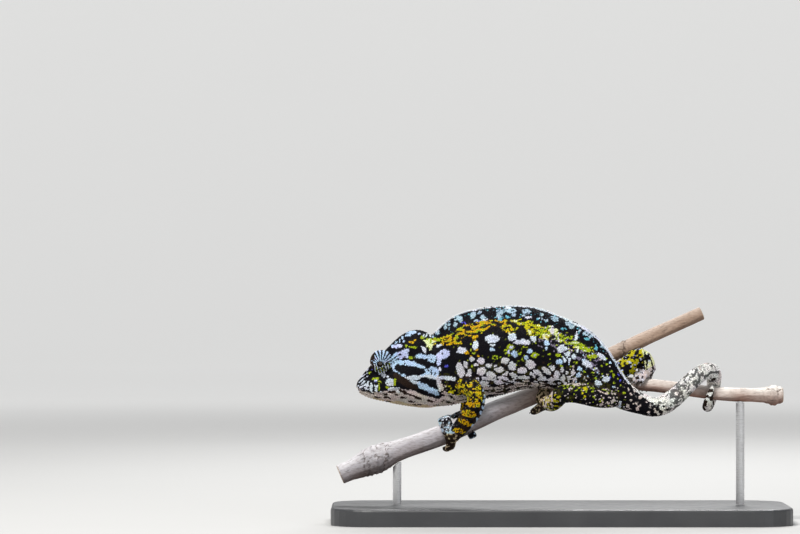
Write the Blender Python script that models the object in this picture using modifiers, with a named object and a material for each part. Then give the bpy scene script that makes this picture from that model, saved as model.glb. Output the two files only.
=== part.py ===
"""Carpet chameleon, life size, gripping a forked twig on a plain display stand.

Metres, +Z up. The head points along -X and the left side faces -Y. The origin is the
middle of the stand's underside. The sizes below are in millimetres and MM turns them to metres.
"""

import math

import bmesh
import bpy
import numpy as np
from mathutils import Matrix, Vector

MM = 0.001
GAP = 0.3  # air that touching pieces keep

# The stand
BASE_LENGTH = 160.0
BASE_WIDTH = 64.0
BASE_HEIGHT = 6.0
BASE_CORNER = 14.0
BASE_EDGE = 0.8
ROD_RADIUS = 1.5
ROD_SIDES = 16
FRONT_ROD_X = -57.0
REAR_ROD_X = 63.0

# The perch: x, y, z and radius down the middle of each stem
BRANCH = [
    (-77.0, 0.4, 16.6, 3.5),
    (-72.0, 0.5, 18.7, 3.7),
    (-67.5, 0.6, 20.6, 4.9),
    (-62.5, 0.8, 22.6, 5.1),
    (-58.5, 0.9, 24.2, 4.0),
    (-52.0, 1.1, 26.6, 3.65),
    (-38.5, 1.4, 31.6, 3.6),
    (-24.5, 2.0, 38.2, 3.55),
    (-10.5, 3.2, 43.8, 3.3),
    (1.75, 5.3, 49.7, 3.25),
    (12.0, 7.6, 55.0, 2.9),
    (23.0, 10.2, 60.4, 2.7),
    (37.0, 12.8, 66.9, 2.55),
    (50.5, 14.6, 73.0, 2.45),
]
TWIG = [
    (2.5, 5.2, 50.2, 2.2),
    (10.0, 3.6, 49.6, 2.3),
    (20.0, 1.6, 48.7, 2.3),
    (31.5, 0.4, 47.8, 2.3),
    (45.5, 0.0, 46.1, 2.4),
    (54.0, -0.1, 45.1, 2.45),
    (63.0, -0.5, 44.6, 2.45),
    (70.5, -0.8, 44.5, 2.6),
    (75.0, -1.0, 44.4, 3.8),
    (78.0, -1.1, 44.5, 2.6),
]
STEM_SIDES = 14
STEM_STEP = 3.4

# The trunk of the animal, snout to tail root, as pairs of outline points on the midline:
# upper x and z, lower x and z, half width, sideways place of the midline
TRUNK = [
    (-71.3, 48.6, -71.1, 46.5, 1.0, 0.0),
    (-70.4, 50.2, -70.0, 45.1, 2.3, 0.0),
    (-69.0, 52.2, -67.9, 43.9, 3.4, 0.0),
    (-67.2, 54.4, -65.1, 42.9, 4.3, 0.0),
    (-64.8, 57.0, -61.6, 42.1, 4.9, 0.0),
    (-62.0, 59.6, -58.5, 41.4, 5.5, -0.1),
    (-59.2, 62.3, -55.0, 40.9, 6.1, -0.2),
    (-56.0, 64.9, -51.5, 40.4, 6.5, -0.3),
    (-52.5, 66.4, -48.3, 40.1, 6.6, -0.4),
    (-49.0, 66.8, -45.5, 40.0, 6.5, -0.4),
    (-46.6, 66.1, -43.4, 40.2, 6.2, -0.5),
    (-45.0, 65.1, -41.6, 40.3, 6.0, -0.5),
    (-43.0, 67.0, -39.6, 40.7, 6.1, -0.5),
    (-39.9, 70.0, -37.1, 41.1, 6.6, -0.7),
    (-35.7, 72.5, -33.6, 41.8, 7.2, -0.9),
    (-30.8, 74.0, -29.4, 42.5, 7.6, -1.0),
    (-25.2, 75.0, -24.5, 43.4, 8.0, -1.2),
    (-19.6, 75.4, -19.6, 44.6, 8.3, -1.6),
    (-13.3, 75.4, -14.4, 46.0, 8.4, -2.2),
    (-7.0, 74.5, -8.8, 46.9, 8.2, -3.1),
    (-0.7, 72.2, -3.2, 46.7, 7.7, -4.4),
    (5.3, 69.7, 2.5, 45.9, 7.1, -5.7),
    (10.5, 66.8, 7.4, 44.6, 6.4, -6.9),
    (14.7, 62.8, 11.9, 43.2, 5.8, -7.9),
    (17.9, 58.4, 15.4, 42.0, 5.2, -8.6),
    (20.3, 54.3, 18.2, 40.8, 4.8, -9.0),
    (22.8, 50.4, 20.7, 39.7, 4.4, -9.3),
    (25.6, 47.4, 23.5, 38.8, 4.0, -9.5),
    (28.7, 45.4, 27.0, 38.0, 3.7, -9.6),
]
# The tail: x, y, z and radius, over the twig, behind it, under it and up its near side
TAIL = [
    (31.9, -9.8, 40.5, 3.5),
    (35.7, -9.4, 41.2, 3.45),
    (39.2, -8.6, 43.5, 3.35),
    (42.4, -7.5, 46.4, 3.25),
    (45.5, -6.4, 49.4, 3.15),
    (48.7, -5.2, 51.9, 3.0),
    (51.4, -3.6, 53.0, 3.0),
    (53.4, -0.8, 52.2, 2.95),
    (54.0, 2.5, 49.8, 2.75),
    (53.9, 5.1, 46.2, 2.4),
    (52.8, 4.2, 42.0, 2.05),
    (51.5, 0.0, 40.2, 1.85),
    (51.6, -4.0, 42.3, 1.65),
    (52.6, -4.4, 46.0, 1.15),
    (53.2, -3.6, 48.0, 0.5),
]
# Where the trunk and tail are parted, by station number
HEAD_END = 10.9
NECK_END = 13.6
TORSO_END = 26.4
TAIL_BASE_END = 31.2
TAIL_MIDDLE_END = 34.3
TAIL_BEND_END = 37.4
TAIL_WRAP_END = 39.8

# Section shape at some stations: station, narrowness above, narrowness below, brow ridge,
# hollow below the ridge, cheek swelling, dip of the roof, keel height
SHAPE = [
    (0.0, 0.80, 0.90, 0.00, 0.00, 0.00, 0.00, 0.0),
    (2.0, 0.62, 0.95, 0.20, 0.05, 0.06, 0.35, 0.0),
    (4.0, 0.62, 1.05, 0.22, 0.20, 0.10, 0.45, 0.0),
    (6.0, 0.75, 1.10, 0.16, 0.16, 0.12, 0.20, 0.3),
    (8.0, 0.95, 1.10, 0.12, 0.10, 0.10, 0.00, 0.7),
    (10.0, 1.15, 1.10, 0.06, 0.04, 0.05, 0.00, 0.6),
    (12.0, 1.30, 1.05, 0.00, 0.00, 0.02, 0.00, 0.3),
    (15.0, 1.30, 1.00, 0.00, 0.00, 0.00, 0.00, 0.4),
    (21.0, 1.25, 1.00, 0.00, 0.00, 0.00, 0.00, 0.4),
    (25.0, 1.15, 0.95, 0.00, 0.00, 0.00, 0.00, 0.3),
    (28.0, 1.02, 0.95, 0.00, 0.00, 0.00, 0.00, 0.1),
    (43.0, 1.00, 1.00, 0.00, 0.00, 0.00, 0.00, 0.0),
]
TRUNK_SIDES = 32
TAIL_SIDES = 18

# The mouth: a line along the lips, then down behind the jaw's hinge, as x and z
MOUTH = [
    (-74.0, 46.4),
    (-71.0, 46.6),
    (-68.2, 45.6),
    (-65.2, 44.9),
    (-62.4, 44.9),
    (-59.6, 45.5),
    (-57.2, 46.5),
    (-55.5, 46.9),
    (-54.2, 46.0),
    (-53.4, 44.0),
    (-53.0, 41.5),
    (-52.8, 36.0),
]
MOUTH_STEPS = 34
LIP_SWELL = 0.35
LIP_REACH = 0.9
NOSTRIL = (-68.3, 50.4)
NOSTRIL_RADIUS = 0.55
NOSTRIL_SIDE = 3.5

# Eyes and their lids, which are one cone with a small opening
EYE_PLACE = (-62.7, 4.55, 56.2)
EYE_RADIUS = 2.55
LID_OUTLINE = [(0.95, 3.30), (1.7, 3.05), (2.6, 2.45), (3.35, 1.5), (3.85, 0.3), (4.0, -0.9), (3.7, -2.75)]
LID_OPENING = 0.75
LID_STEPS = 22
LEFT_GAZE = (-0.10, -1.0, -0.28)
RIGHT_GAZE = (-0.40, 1.0, 0.06)

# Limbs, root to wrist or ankle: x, y, z and radius
LEFT_ARM = [
    (-34.3, -3.6, 48.4, 3.6),
    (-31.6, -8.2, 47.3, 3.6),
    (-29.5, -11.0, 44.7, 3.3),
    (-30.0, -11.0, 41.0, 3.4),
    (-31.9, -9.4, 37.4, 3.35),
    (-34.3, -7.5, 34.1, 3.0),
    (-36.1, -6.3, 31.9, 2.7),
]
RIGHT_ARM = [
    (-34.6, 2.4, 48.4, 3.3),
    (-33.6, 7.4, 46.7, 3.1),
    (-32.4, 9.9, 43.8, 2.8),
    (-32.2, 10.3, 40.5, 2.6),
    (-32.8, 9.5, 37.4, 2.45),
    (-33.4, 8.7, 35.2, 2.3),
]
LEFT_LEG = [
    (21.8, -8.9, 44.6, 2.8),
    (17.8, -11.6, 43.6, 3.3),
    (13.4, -13.0, 43.7, 3.5),
    (8.9, -13.7, 44.7, 3.6),
    (4.4, -13.4, 45.5, 3.5),
    (0.2, -12.0, 45.0, 3.3),
    (-1.6, -9.4, 43.0, 3.1),
    (-3.0, -6.6, 41.7, 2.95),
    (-4.2, -4.6, 41.5, 2.65),
]
RIGHT_LEG = [
    (15.4, -5.6, 49.4, 3.4),
    (19.6, -2.6, 51.6, 3.3),
    (24.0, -1.0, 55.4, 3.2),
    (27.5, -0.3, 58.4, 2.85),
    (30.1, 0.3, 57.0, 2.55),
    (31.3, 0.5, 54.3, 2.35),
]
ELBOW = 2.2
RIGHT_ELBOW = 2.2
KNEE = 5.2
RIGHT_KNEE = 3.2
LIMB_SIDES = 14
LIMB_STEP = 1.7

# Toes grip the stem in two bundles. Angles run round the stem from its near side, up is
# positive, and slides run along the stem towards its thick end.
TOE_RADIUS = 1.12
TOE_SPACING = 1.5
TOE_SIDES = 7
TOE_STEPS = 6
CLAW_LENGTH = 1.3
CLAW_RADIUS = 0.38
CLAW_SIDES = 5

# Colours of the plain solids
SKIN = (0.10, 0.09, 0.08)
SKIN_PALE = (0.62, 0.63, 0.62)
EYE_DARK = (0.05, 0.03, 0.02)
BARK = (0.55, 0.47, 0.42)
STAND_WOOD = (0.10, 0.09, 0.09)
STEEL = (0.62, 0.63, 0.65)


def clear_scene():
    """Removes the startup objects."""
    for thing in list(bpy.data.objects):
        bpy.data.objects.remove(thing, do_unlink=True)


def material(name, colour, roughness, metallic=0.0):
    """A plain Principled finish."""
    made = bpy.data.materials.new(name)
    made.use_nodes = True
    shader = made.node_tree.nodes["Principled BSDF"]
    shader.inputs["Base Color"].default_value = (*colour, 1.0)
    shader.inputs["Roughness"].default_value = roughness
    shader.inputs["Metallic"].default_value = metallic
    made.diffuse_color = (*colour, 1.0)
    return made


def collection(name):
    """A new collection in the scene."""
    made = bpy.data.collections.new(name)
    bpy.context.scene.collection.children.link(made)
    return made


def smooth(rows, places):
    """Rows of numbers read between their stations, by a curve that passes through each row."""
    rows = np.asarray(rows, float)
    last = len(rows) - 1
    places = np.clip(np.asarray(places, float), 0.0, last)
    low = np.minimum(places.astype(int), last - 1)
    share = (places - low)[:, None]
    before = rows[np.maximum(low - 1, 0)]
    here = rows[low]
    there = rows[low + 1]
    after = rows[np.minimum(low + 2, last)]
    slope_here = (there - before) / 2
    slope_there = (after - here) / 2
    return (
        (2 * share**3 - 3 * share**2 + 1) * here
        + (share**3 - 2 * share**2 + share) * slope_here
        + (3 * share**2 - 2 * share**3) * there
        + (share**3 - share**2) * slope_there
    )


def link_mesh(name, mesh_builder, finish, home):
    """An object in the home collection from a bmesh, which is freed."""
    bmesh.ops.recalc_face_normals(mesh_builder, faces=mesh_builder.faces)
    mesh = bpy.data.meshes.new(name)
    mesh_builder.to_mesh(mesh)
    mesh_builder.free()
    mesh.materials.append(finish)
    mesh.shade_smooth()
    made = bpy.data.objects.new(name, mesh)
    home.objects.link(made)
    return made


def loft(name, rings, finish, home):
    """A closed skin over rings of points in millimetres, with a fan of faces on each end."""
    builder = bmesh.new()
    loops = [[builder.verts.new(Vector(point) * MM) for point in ring] for ring in rings]
    count = len(loops[0])
    for near, far in zip(loops, loops[1:]):
        for i in range(count):
            j = (i + 1) % count
            builder.faces.new((near[i], near[j], far[j], far[i]))
    for loop in (loops[0], loops[-1]):
        middle = builder.verts.new(sum((v.co for v in loop), Vector()) / count)
        for i in range(count):
            builder.faces.new((loop[i], loop[(i + 1) % count], middle))
    return link_mesh(name, builder, finish, home)


def carried_frames(path, ahead=None):
    """Side and up directions along a path, turned as little as possible from point to point."""
    if ahead is None:
        ahead = np.gradient(path, axis=0)
        ahead /= np.linalg.norm(ahead, axis=1)[:, None]
    up = np.array((0.0, 0.0, 1.0))
    if abs(ahead[0] @ up) > 0.9:
        up = np.array((0.0, 1.0, 0.0))
    sides, ups = [], []
    for step in ahead:
        up = up - (up @ step) * step
        up = up / np.linalg.norm(up)
        sides.append(np.cross(step, up))
        ups.append(up)
    return np.array(sides), np.array(ups)


def tube_rings(path, radii, sides, ahead=None):
    """Round rings of the given radii along a path."""
    side, up = carried_frames(path, ahead)
    angle = np.linspace(0, 2 * np.pi, sides, endpoint=False)
    across = np.cos(angle)[None, :, None] * side[:, None, :]
    along = np.sin(angle)[None, :, None] * up[:, None, :]
    return path[:, None, :] + radii[:, None, None] * (across + along)


def spaced_places(rows, start, end, step):
    """Station numbers from start to end whose points lie about one step apart."""
    fine = np.linspace(start, end, 400)
    path = smooth(rows, fine)[:, :3]
    run = np.concatenate([[0], np.cumsum(np.linalg.norm(np.diff(path, axis=0), axis=1))])
    count = max(3, round(run[-1] / step) + 1)
    return np.interp(np.linspace(0, run[-1], count), run, fine)


def evaluated(thing):
    """A mesh of the object with its modifiers applied."""
    graph = bpy.context.evaluated_depsgraph_get()
    return bpy.data.meshes.new_from_object(thing.evaluated_get(graph))


def keep_largest(mesh):
    """Drops every closed surface of the mesh but the largest."""
    builder = bmesh.new()
    builder.from_mesh(mesh)
    left = set(builder.faces)
    shells = []
    while left:
        grow = [left.pop()]
        shell = set(grow)
        while grow:
            for edge in grow.pop().edges:
                for face in edge.link_faces:
                    if face in left:
                        left.remove(face)
                        shell.add(face)
                        grow.append(face)
        shells.append(shell)
    shells.sort(key=lambda shell: sum(face.calc_area() for face in shell))
    for shell in shells[:-1]:
        bmesh.ops.delete(builder, geom=list(shell), context="FACES")
    bmesh.ops.dissolve_degenerate(builder, dist=0.005 * MM, edges=builder.edges)
    loose = [v for v in builder.verts if not v.link_faces]
    bmesh.ops.delete(builder, geom=loose, context="VERTS")
    bmesh.ops.triangulate(builder, faces=builder.faces)
    builder.to_mesh(mesh)
    builder.free()


def boolean(thing, tool, operation):
    """Applies one Boolean with a tool object, which stays."""
    step = thing.modifiers.new(operation, "BOOLEAN")
    step.operation = operation
    step.solver = "EXACT"
    step.object = tool
    mesh = evaluated(thing)
    thing.modifiers.remove(step)
    thing.data = mesh
    keep_largest(mesh)
    mesh.shade_smooth()


def fuse(name, pieces, home):
    """Joins closed pieces into one body by one union on a collection."""
    body, others = pieces[0], pieces[1:]
    group = collection(name + "_pieces")
    for piece in others:
        for owner in piece.users_collection:
            owner.objects.unlink(piece)
        group.objects.link(piece)
    step = body.modifiers.new("union", "BOOLEAN")
    step.operation = "UNION"
    step.solver = "EXACT"
    step.operand_type = "COLLECTION"
    step.collection = group
    mesh = evaluated(body)
    body.modifiers.remove(step)
    body.data = mesh
    body.name = name
    for piece in list(group.objects):
        bpy.data.objects.remove(piece, do_unlink=True)
    bpy.data.collections.remove(group)
    keep_largest(mesh)
    mesh.shade_smooth()
    if body.name not in home.objects:
        home.objects.link(body)
    return body


def grown(thing, amount, cutters):
    """A copy whose surface stands out by amount, in millimetres, for cutting what lies against it."""
    made = bpy.data.objects.new(thing.name + "_grown", thing.data.copy())
    cutters.objects.link(made)
    made.hide_render = True
    made.display_type = "WIRE"
    mesh = made.data
    normals = np.empty(len(mesh.vertices) * 3)
    mesh.vertex_normals.foreach_get("vector", normals)
    places = np.empty(len(mesh.vertices) * 3)
    mesh.vertices.foreach_get("co", places)
    mesh.vertices.foreach_set("co", places + normals * amount * MM)
    mesh.update()
    return made


def trunk_shape(places):
    """The section numbers of SHAPE at these stations."""
    table = np.array(SHAPE)
    return np.stack([np.interp(places, table[:, 0], table[:, i]) for i in range(1, 8)], axis=1)


def trunk_stations():
    """Middle, upward half and half width of the whole animal, snout to tail tip, one row a station."""
    rows = []
    for top_x, top_z, low_x, low_z, half, aside in TRUNK:
        rows.append(((top_x + low_x) / 2, aside, (top_z + low_z) / 2, (top_x - low_x) / 2, 0.0, (top_z - low_z) / 2, half))
    middles = np.array([row[:3] for row in rows] + [row[:3] for row in TAIL])
    ahead = np.gradient(middles, axis=0)
    up = np.array(rows[-1][3:6])
    for i, (x, y, z, radius) in enumerate(TAIL):
        step = ahead[len(TRUNK) + i] / np.linalg.norm(ahead[len(TRUNK) + i])
        up = up - (up @ step) * step
        up = up / np.linalg.norm(up) * radius
        rows.append((x, y, z, *up, radius))
    return np.array(rows)


def trunk_rings(start, end, count, sides):
    """Rings of the animal's trunk or tail between two stations, half a gap short of each."""
    rows = trunk_stations()
    near, far = smooth(rows, [start, start + 0.05])[:, :3]
    start += 0.05 * GAP / 2 / np.linalg.norm(far - near) if start > 0 else 0.0
    near, far = smooth(rows, [end - 0.05, end])[:, :3]
    end -= 0.05 * GAP / 2 / np.linalg.norm(far - near) if end < len(rows) - 1 else 0.0
    places = np.linspace(start, end, count)
    found = smooth(rows, places)
    shape = trunk_shape(places)
    ahead = smooth(rows, places + 0.02)[:, :3] - smooth(rows, places - 0.02)[:, :3]
    ahead /= np.linalg.norm(ahead, axis=1)[:, None]
    up = found[:, 3:6]
    side = np.cross(ahead, up)
    side /= np.linalg.norm(side, axis=1)[:, None]
    turn = np.linspace(0, 2 * np.pi, sides, endpoint=False)
    share = np.where(turn <= np.pi, turn, 2 * np.pi - turn) / np.pi
    rings = []
    for i in range(count):
        above, below, ridge, hollow, cheek, dip, keel = shape[i]
        narrow = above + (below - above) * share
        width = np.abs(np.sin(turn)) ** narrow
        width *= 1 + ridge * bump(share, 0.24, 0.07) - hollow * bump(share, 0.38, 0.07)
        width *= 1 + cheek * bump(share, 0.60, 0.14)
        height = np.cos(turn)
        up_size = np.linalg.norm(up[i])
        height = height - dip / up_size * bump(share, 0.0, 0.13) + keel / up_size * bump(share, 0.0, 0.05)
        across = np.sign(np.sin(turn)) * width * found[i, 6]
        rings.append(found[i, :3] + height[:, None] * up[i] + across[:, None] * side[i])
    return np.array(rings)


def bump(values, middle, spread):
    """A bell of height one."""
    return np.exp(-(((values - middle) / spread) ** 2))


def stem(name, rows, finish, home):
    """A woody stem with slightly uneven bark."""
    places = spaced_places(rows, 0, len(rows) - 1, STEM_STEP)
    found = smooth(rows, places)
    rings = tube_rings(found[:, :3], found[:, 3], STEM_SIDES)
    turn = np.linspace(0, 2 * np.pi, STEM_SIDES, endpoint=False)
    uneven = 0.12 * np.sin(3 * turn[None, :] + 0.9 * places[:, None]) + 0.08 * np.sin(5 * turn[None, :] - 1.7 * places[:, None])
    away = rings - found[:, None, :3]
    away /= np.linalg.norm(away, axis=2)[:, :, None]
    return loft(name, rings + uneven[:, :, None] * away, finish, home)


def stem_at(rows, x):
    """The middle, direction and radius of a stem where it crosses this x."""
    places = np.linspace(0, len(rows) - 1, 600)
    found = smooth(rows, places)
    nearest = int(np.argmin(np.abs(found[:, 0] - x)))
    ahead = found[min(nearest + 1, 599), :3] - found[max(nearest - 1, 0), :3]
    return found[nearest, :3], ahead / np.linalg.norm(ahead), found[nearest, 3]


def stand(home, cutters, wood, steel, branch, twig):
    """A flat base with softened edges, and two rods whose tops fit the undersides of the stems."""
    builder = bmesh.new()
    bmesh.ops.create_cube(builder, size=1.0)
    size = Vector((BASE_LENGTH, BASE_WIDTH, BASE_HEIGHT)) * MM
    bmesh.ops.scale(builder, vec=size, verts=builder.verts)
    bmesh.ops.translate(builder, vec=(0, 0, BASE_HEIGHT / 2 * MM), verts=builder.verts)
    upright = [e for e in builder.edges if abs(e.verts[0].co.z - e.verts[1].co.z) > MM]
    bmesh.ops.bevel(builder, geom=upright, offset=BASE_CORNER * MM, segments=7, profile=0.5, affect="EDGES")
    rim = [e for e in builder.edges if min(v.co.z for v in e.verts) > (BASE_HEIGHT - 0.01) * MM]
    bmesh.ops.bevel(builder, geom=rim, offset=BASE_EDGE * MM, segments=2, profile=0.5, affect="EDGES")
    link_mesh("stand_base", builder, wood, home)
    for name, rows, x, stem_thing in (
        ("stand_rod_front", BRANCH, FRONT_ROD_X, branch),
        ("stand_rod_rear", TWIG, REAR_ROD_X, twig),
    ):
        middle, _, _ = stem_at(rows, x)
        foot = BASE_HEIGHT + GAP
        builder = bmesh.new()
        bmesh.ops.create_cone(
            builder, cap_ends=True, segments=ROD_SIDES, radius1=ROD_RADIUS * MM,
            radius2=ROD_RADIUS * MM, depth=(middle[2] - foot) * MM,
        )
        place = Vector((x, middle[1], (middle[2] + foot) / 2)) * MM
        bmesh.ops.translate(builder, vec=place, verts=builder.verts)
        rod = link_mesh(name, builder, steel, home)
        tool = grown(stem_thing, GAP, cutters)
        boolean(rod, tool, "DIFFERENCE")
        bpy.data.objects.remove(tool, do_unlink=True)


def mouth_line():
    """Points of the mouth's line, x and z, closely spaced."""
    return smooth(MOUTH, np.linspace(0, len(MOUTH) - 1, MOUTH_STEPS))


def swell_lips(rings):
    """Pushes the sides of the rings out a little beside the mouth's line."""
    lips = mouth_line()[: int(MOUTH_STEPS * 0.68)]
    for ring in rings:
        middle = ring.mean(axis=0)
        for point in ring:
            near = np.sqrt(((lips - point[[0, 2]]) ** 2).sum(axis=1).min())
            point[1] += np.sign(point[1] - middle[1]) * LIP_SWELL * bump(near, 0.0, LIP_REACH)
    return rings


def region_below_mouth(shift, cutters):
    """A block that holds all below the line of the mouth, its edge lowered by shift millimetres."""
    line = mouth_line()
    ahead = np.gradient(line, axis=0)
    ahead /= np.linalg.norm(ahead, axis=1)[:, None]
    inward = np.stack([ahead[:, 1], -ahead[:, 0]], axis=1)
    line = line + inward * shift
    outline = [tuple(p) for p in line] + [(line[-1][0], 30.0), (-80.0, 30.0), (-80.0, line[0][1])]
    builder = bmesh.new()
    near = [builder.verts.new((x * MM, -20 * MM, z * MM)) for x, z in outline]
    face = builder.faces.new(near)
    out = bmesh.ops.extrude_face_region(builder, geom=[face])
    moved = [v for v in out["geom"] if isinstance(v, bmesh.types.BMVert)]
    bmesh.ops.translate(builder, vec=(0, 40 * MM, 0), verts=moved)
    bmesh.ops.triangulate(builder, faces=builder.faces)
    bmesh.ops.recalc_face_normals(builder, faces=builder.faces)
    mesh = bpy.data.meshes.new("below_mouth")
    builder.to_mesh(mesh)
    builder.free()
    made = bpy.data.objects.new("below_mouth", mesh)
    made.hide_render = True
    made.display_type = "WIRE"
    cutters.objects.link(made)
    return made


def turned(name, outline, steps, finish, home):
    """A turned solid from an outline of radius and height in millimetres, by a Screw modifier."""
    mesh = bpy.data.meshes.new(name)
    points = [(r * MM, 0.0, h * MM) for r, h in outline]
    mesh.from_pydata(points, [(i, i + 1) for i in range(len(points) - 1)], [])
    made = bpy.data.objects.new(name, mesh)
    home.objects.link(made)
    screw = made.modifiers.new("turn", "SCREW")
    screw.angle = 2 * math.pi
    screw.steps = steps
    screw.render_steps = steps
    screw.use_merge_vertices = True
    screw.merge_threshold = 0.00001
    solid = evaluated(made)
    made.modifiers.remove(screw)
    made.data = solid
    builder = bmesh.new()
    builder.from_mesh(solid)
    bmesh.ops.remove_doubles(builder, verts=builder.verts, dist=0.000001)
    bmesh.ops.recalc_face_normals(builder, faces=builder.faces)
    builder.to_mesh(solid)
    builder.free()
    solid.materials.clear()
    solid.materials.append(finish)
    solid.shade_smooth()
    return made


def gaze_matrix(place, gaze):
    """Turns local +Z to the gaze, at a place in millimetres."""
    turn = Vector(gaze).normalized().to_track_quat("Z", "Y").to_matrix().to_4x4()
    return Matrix.Translation(Vector(place) * MM) @ turn


def eyes(home, cutters, skin, dark, head):
    """A lid cone with a small opening on each side of the head, and the eyeball seen in it."""
    hollow = EYE_RADIUS + GAP
    rise = math.asin(LID_OPENING / hollow)
    inner = [
        (hollow * math.sin(a), hollow * math.cos(a))
        for a in np.linspace(math.pi, rise, 9)
    ]
    inner[0] = (0.0, -hollow)
    lid_outline = inner + LID_OUTLINE + [(0.0, LID_OUTLINE[-1][1])]
    socket_outline = [(0.0, LID_OUTLINE[0][1] + 3.0), (LID_OUTLINE[3][0] + GAP, LID_OUTLINE[0][1] + 3.0)]
    socket_outline += [(r + GAP, h) for r, h in LID_OUTLINE[4:-1]]
    socket_outline += [(LID_OUTLINE[-1][0] + GAP, LID_OUTLINE[-1][1] - GAP), (0.0, LID_OUTLINE[-1][1] - GAP)]
    for side, gaze in (("left", LEFT_GAZE), ("right", RIGHT_GAZE)):
        x, y, z = EYE_PLACE
        place = (x, -y if side == "left" else y, z)
        where = gaze_matrix(place, gaze)
        lid = turned("eyelid_" + side, lid_outline, LID_STEPS, skin, home)
        lid.data.transform(where)
        socket = turned("socket_" + side, socket_outline, LID_STEPS, skin, cutters)
        socket.data.transform(where)
        socket.hide_render = True
        boolean(head, socket, "DIFFERENCE")
        bpy.data.objects.remove(socket, do_unlink=True)
        builder = bmesh.new()
        bmesh.ops.create_uvsphere(builder, u_segments=12, v_segments=8, radius=EYE_RADIUS * MM)
        bmesh.ops.transform(builder, matrix=where, verts=builder.verts)
        link_mesh("eye_" + side, builder, dark, home)


def nostrils(head, cutters):
    """A small round pit on each side of the snout."""
    x, z = NOSTRIL
    for side in (-1, 1):
        builder = bmesh.new()
        bmesh.ops.create_icosphere(builder, subdivisions=1, radius=NOSTRIL_RADIUS * MM)
        bmesh.ops.translate(builder, vec=Vector((x, side * NOSTRIL_SIDE, z)) * MM, verts=builder.verts)
        pit = link_mesh("nostril", builder, head.data.materials[0], cutters)
        pit.hide_render = True
        boolean(head, pit, "DIFFERENCE")
        bpy.data.objects.remove(pit, do_unlink=True)


def head_and_jaw(home, cutters, skin, dark):
    """The head with its crests, and the lower jaw parted from it along the lips."""
    rings = swell_lips(trunk_rings(0.0, HEAD_END, 30, TRUNK_SIDES))
    head = loft("head", rings, skin, home)
    jaw = bpy.data.objects.new("lower_jaw", head.data.copy())
    home.objects.link(jaw)
    upper = region_below_mouth(-GAP / 2, cutters)
    boolean(head, upper, "DIFFERENCE")
    lower = region_below_mouth(GAP / 2, cutters)
    boolean(jaw, lower, "INTERSECT")
    bpy.data.objects.remove(upper, do_unlink=True)
    bpy.data.objects.remove(lower, do_unlink=True)
    eyes(home, cutters, skin, dark, head)
    nostrils(head, cutters)
    return head


def limb(names, rows, joint, finish, home, cutters, body):
    """Two lengths of a limb that meet at the elbow or knee; the upper one fits the body's side."""
    last = len(rows) - 1
    upper = spaced_places(rows, 0.0, joint, LIMB_STEP)
    lower = spaced_places(rows, joint, float(last), LIMB_STEP)
    places = np.concatenate([upper, lower[1:]])
    found = smooth(rows, places)
    path = found[:, :3]
    ahead = smooth(rows, places + 0.02)[:, :3] - smooth(rows, places - 0.02)[:, :3]
    ahead /= np.linalg.norm(ahead, axis=1)[:, None]
    rings = tube_rings(path, found[:, 3], LIMB_SIDES, ahead)
    bend = len(upper) - 1
    above = rings[: bend + 1].copy()
    above[-1] -= ahead[bend] * GAP / 2
    below = rings[bend:].copy()
    below[0] -= ahead[bend] * GAP
    below[-1] -= ahead[-1] * GAP / 2
    made = [loft(names[0], above, finish, home), loft(names[1], below, finish, home)]
    tool = grown(made[0], GAP, cutters)
    boolean(made[1], tool, "DIFFERENCE")
    bpy.data.objects.remove(tool, do_unlink=True)
    for tool in body:
        boolean(made[0], tool, "DIFFERENCE")
    return made


def toe(rows, x, start_angle, end_angle, start_slide, end_slide, stout, outward, finish, home):
    """One toe bent round a stem, with its claw, as closed pieces that a union joins."""
    size = TOE_RADIUS * stout
    middle, ahead, radius = stem_at(rows, x)
    near = np.cross(np.cross(ahead, np.array((0.0, outward, 0.0))), ahead)
    near /= np.linalg.norm(near)
    up = np.array((0.0, 0.0, 1.0))
    up = up - (up @ ahead) * ahead - (up @ near) * near
    up /= np.linalg.norm(up)
    angle = np.radians(np.linspace(start_angle, end_angle, TOE_STEPS))
    slide = np.linspace(start_slide, end_slide, TOE_STEPS)
    reach = radius + GAP + size * np.linspace(1.0, 0.85, TOE_STEPS)
    around = np.cos(angle)[:, None] * near + np.sin(angle)[:, None] * up
    path = middle + reach[:, None] * around - slide[:, None] * ahead
    thick = size * np.linspace(1.05, 0.80, TOE_STEPS)
    thick[-1] *= 0.72
    pieces = [loft("toe", tube_rings(path, thick, TOE_SIDES), finish, home)]
    forward = path[-1] - path[-2]
    forward /= np.linalg.norm(forward)
    root = path[-1] - forward * 0.5 + around[-1] * 0.15
    tip = root + forward * (CLAW_LENGTH + 0.5) - around[-1] * 0.35
    claw_path = np.array([root, (root + tip) / 2 + around[-1] * 0.12, tip])
    claw_width = np.array([CLAW_RADIUS, CLAW_RADIUS * 0.75, 0.12])
    pieces.append(loft("claw", tube_rings(claw_path, claw_width, CLAW_SIDES), finish, home))
    return pieces


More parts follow.
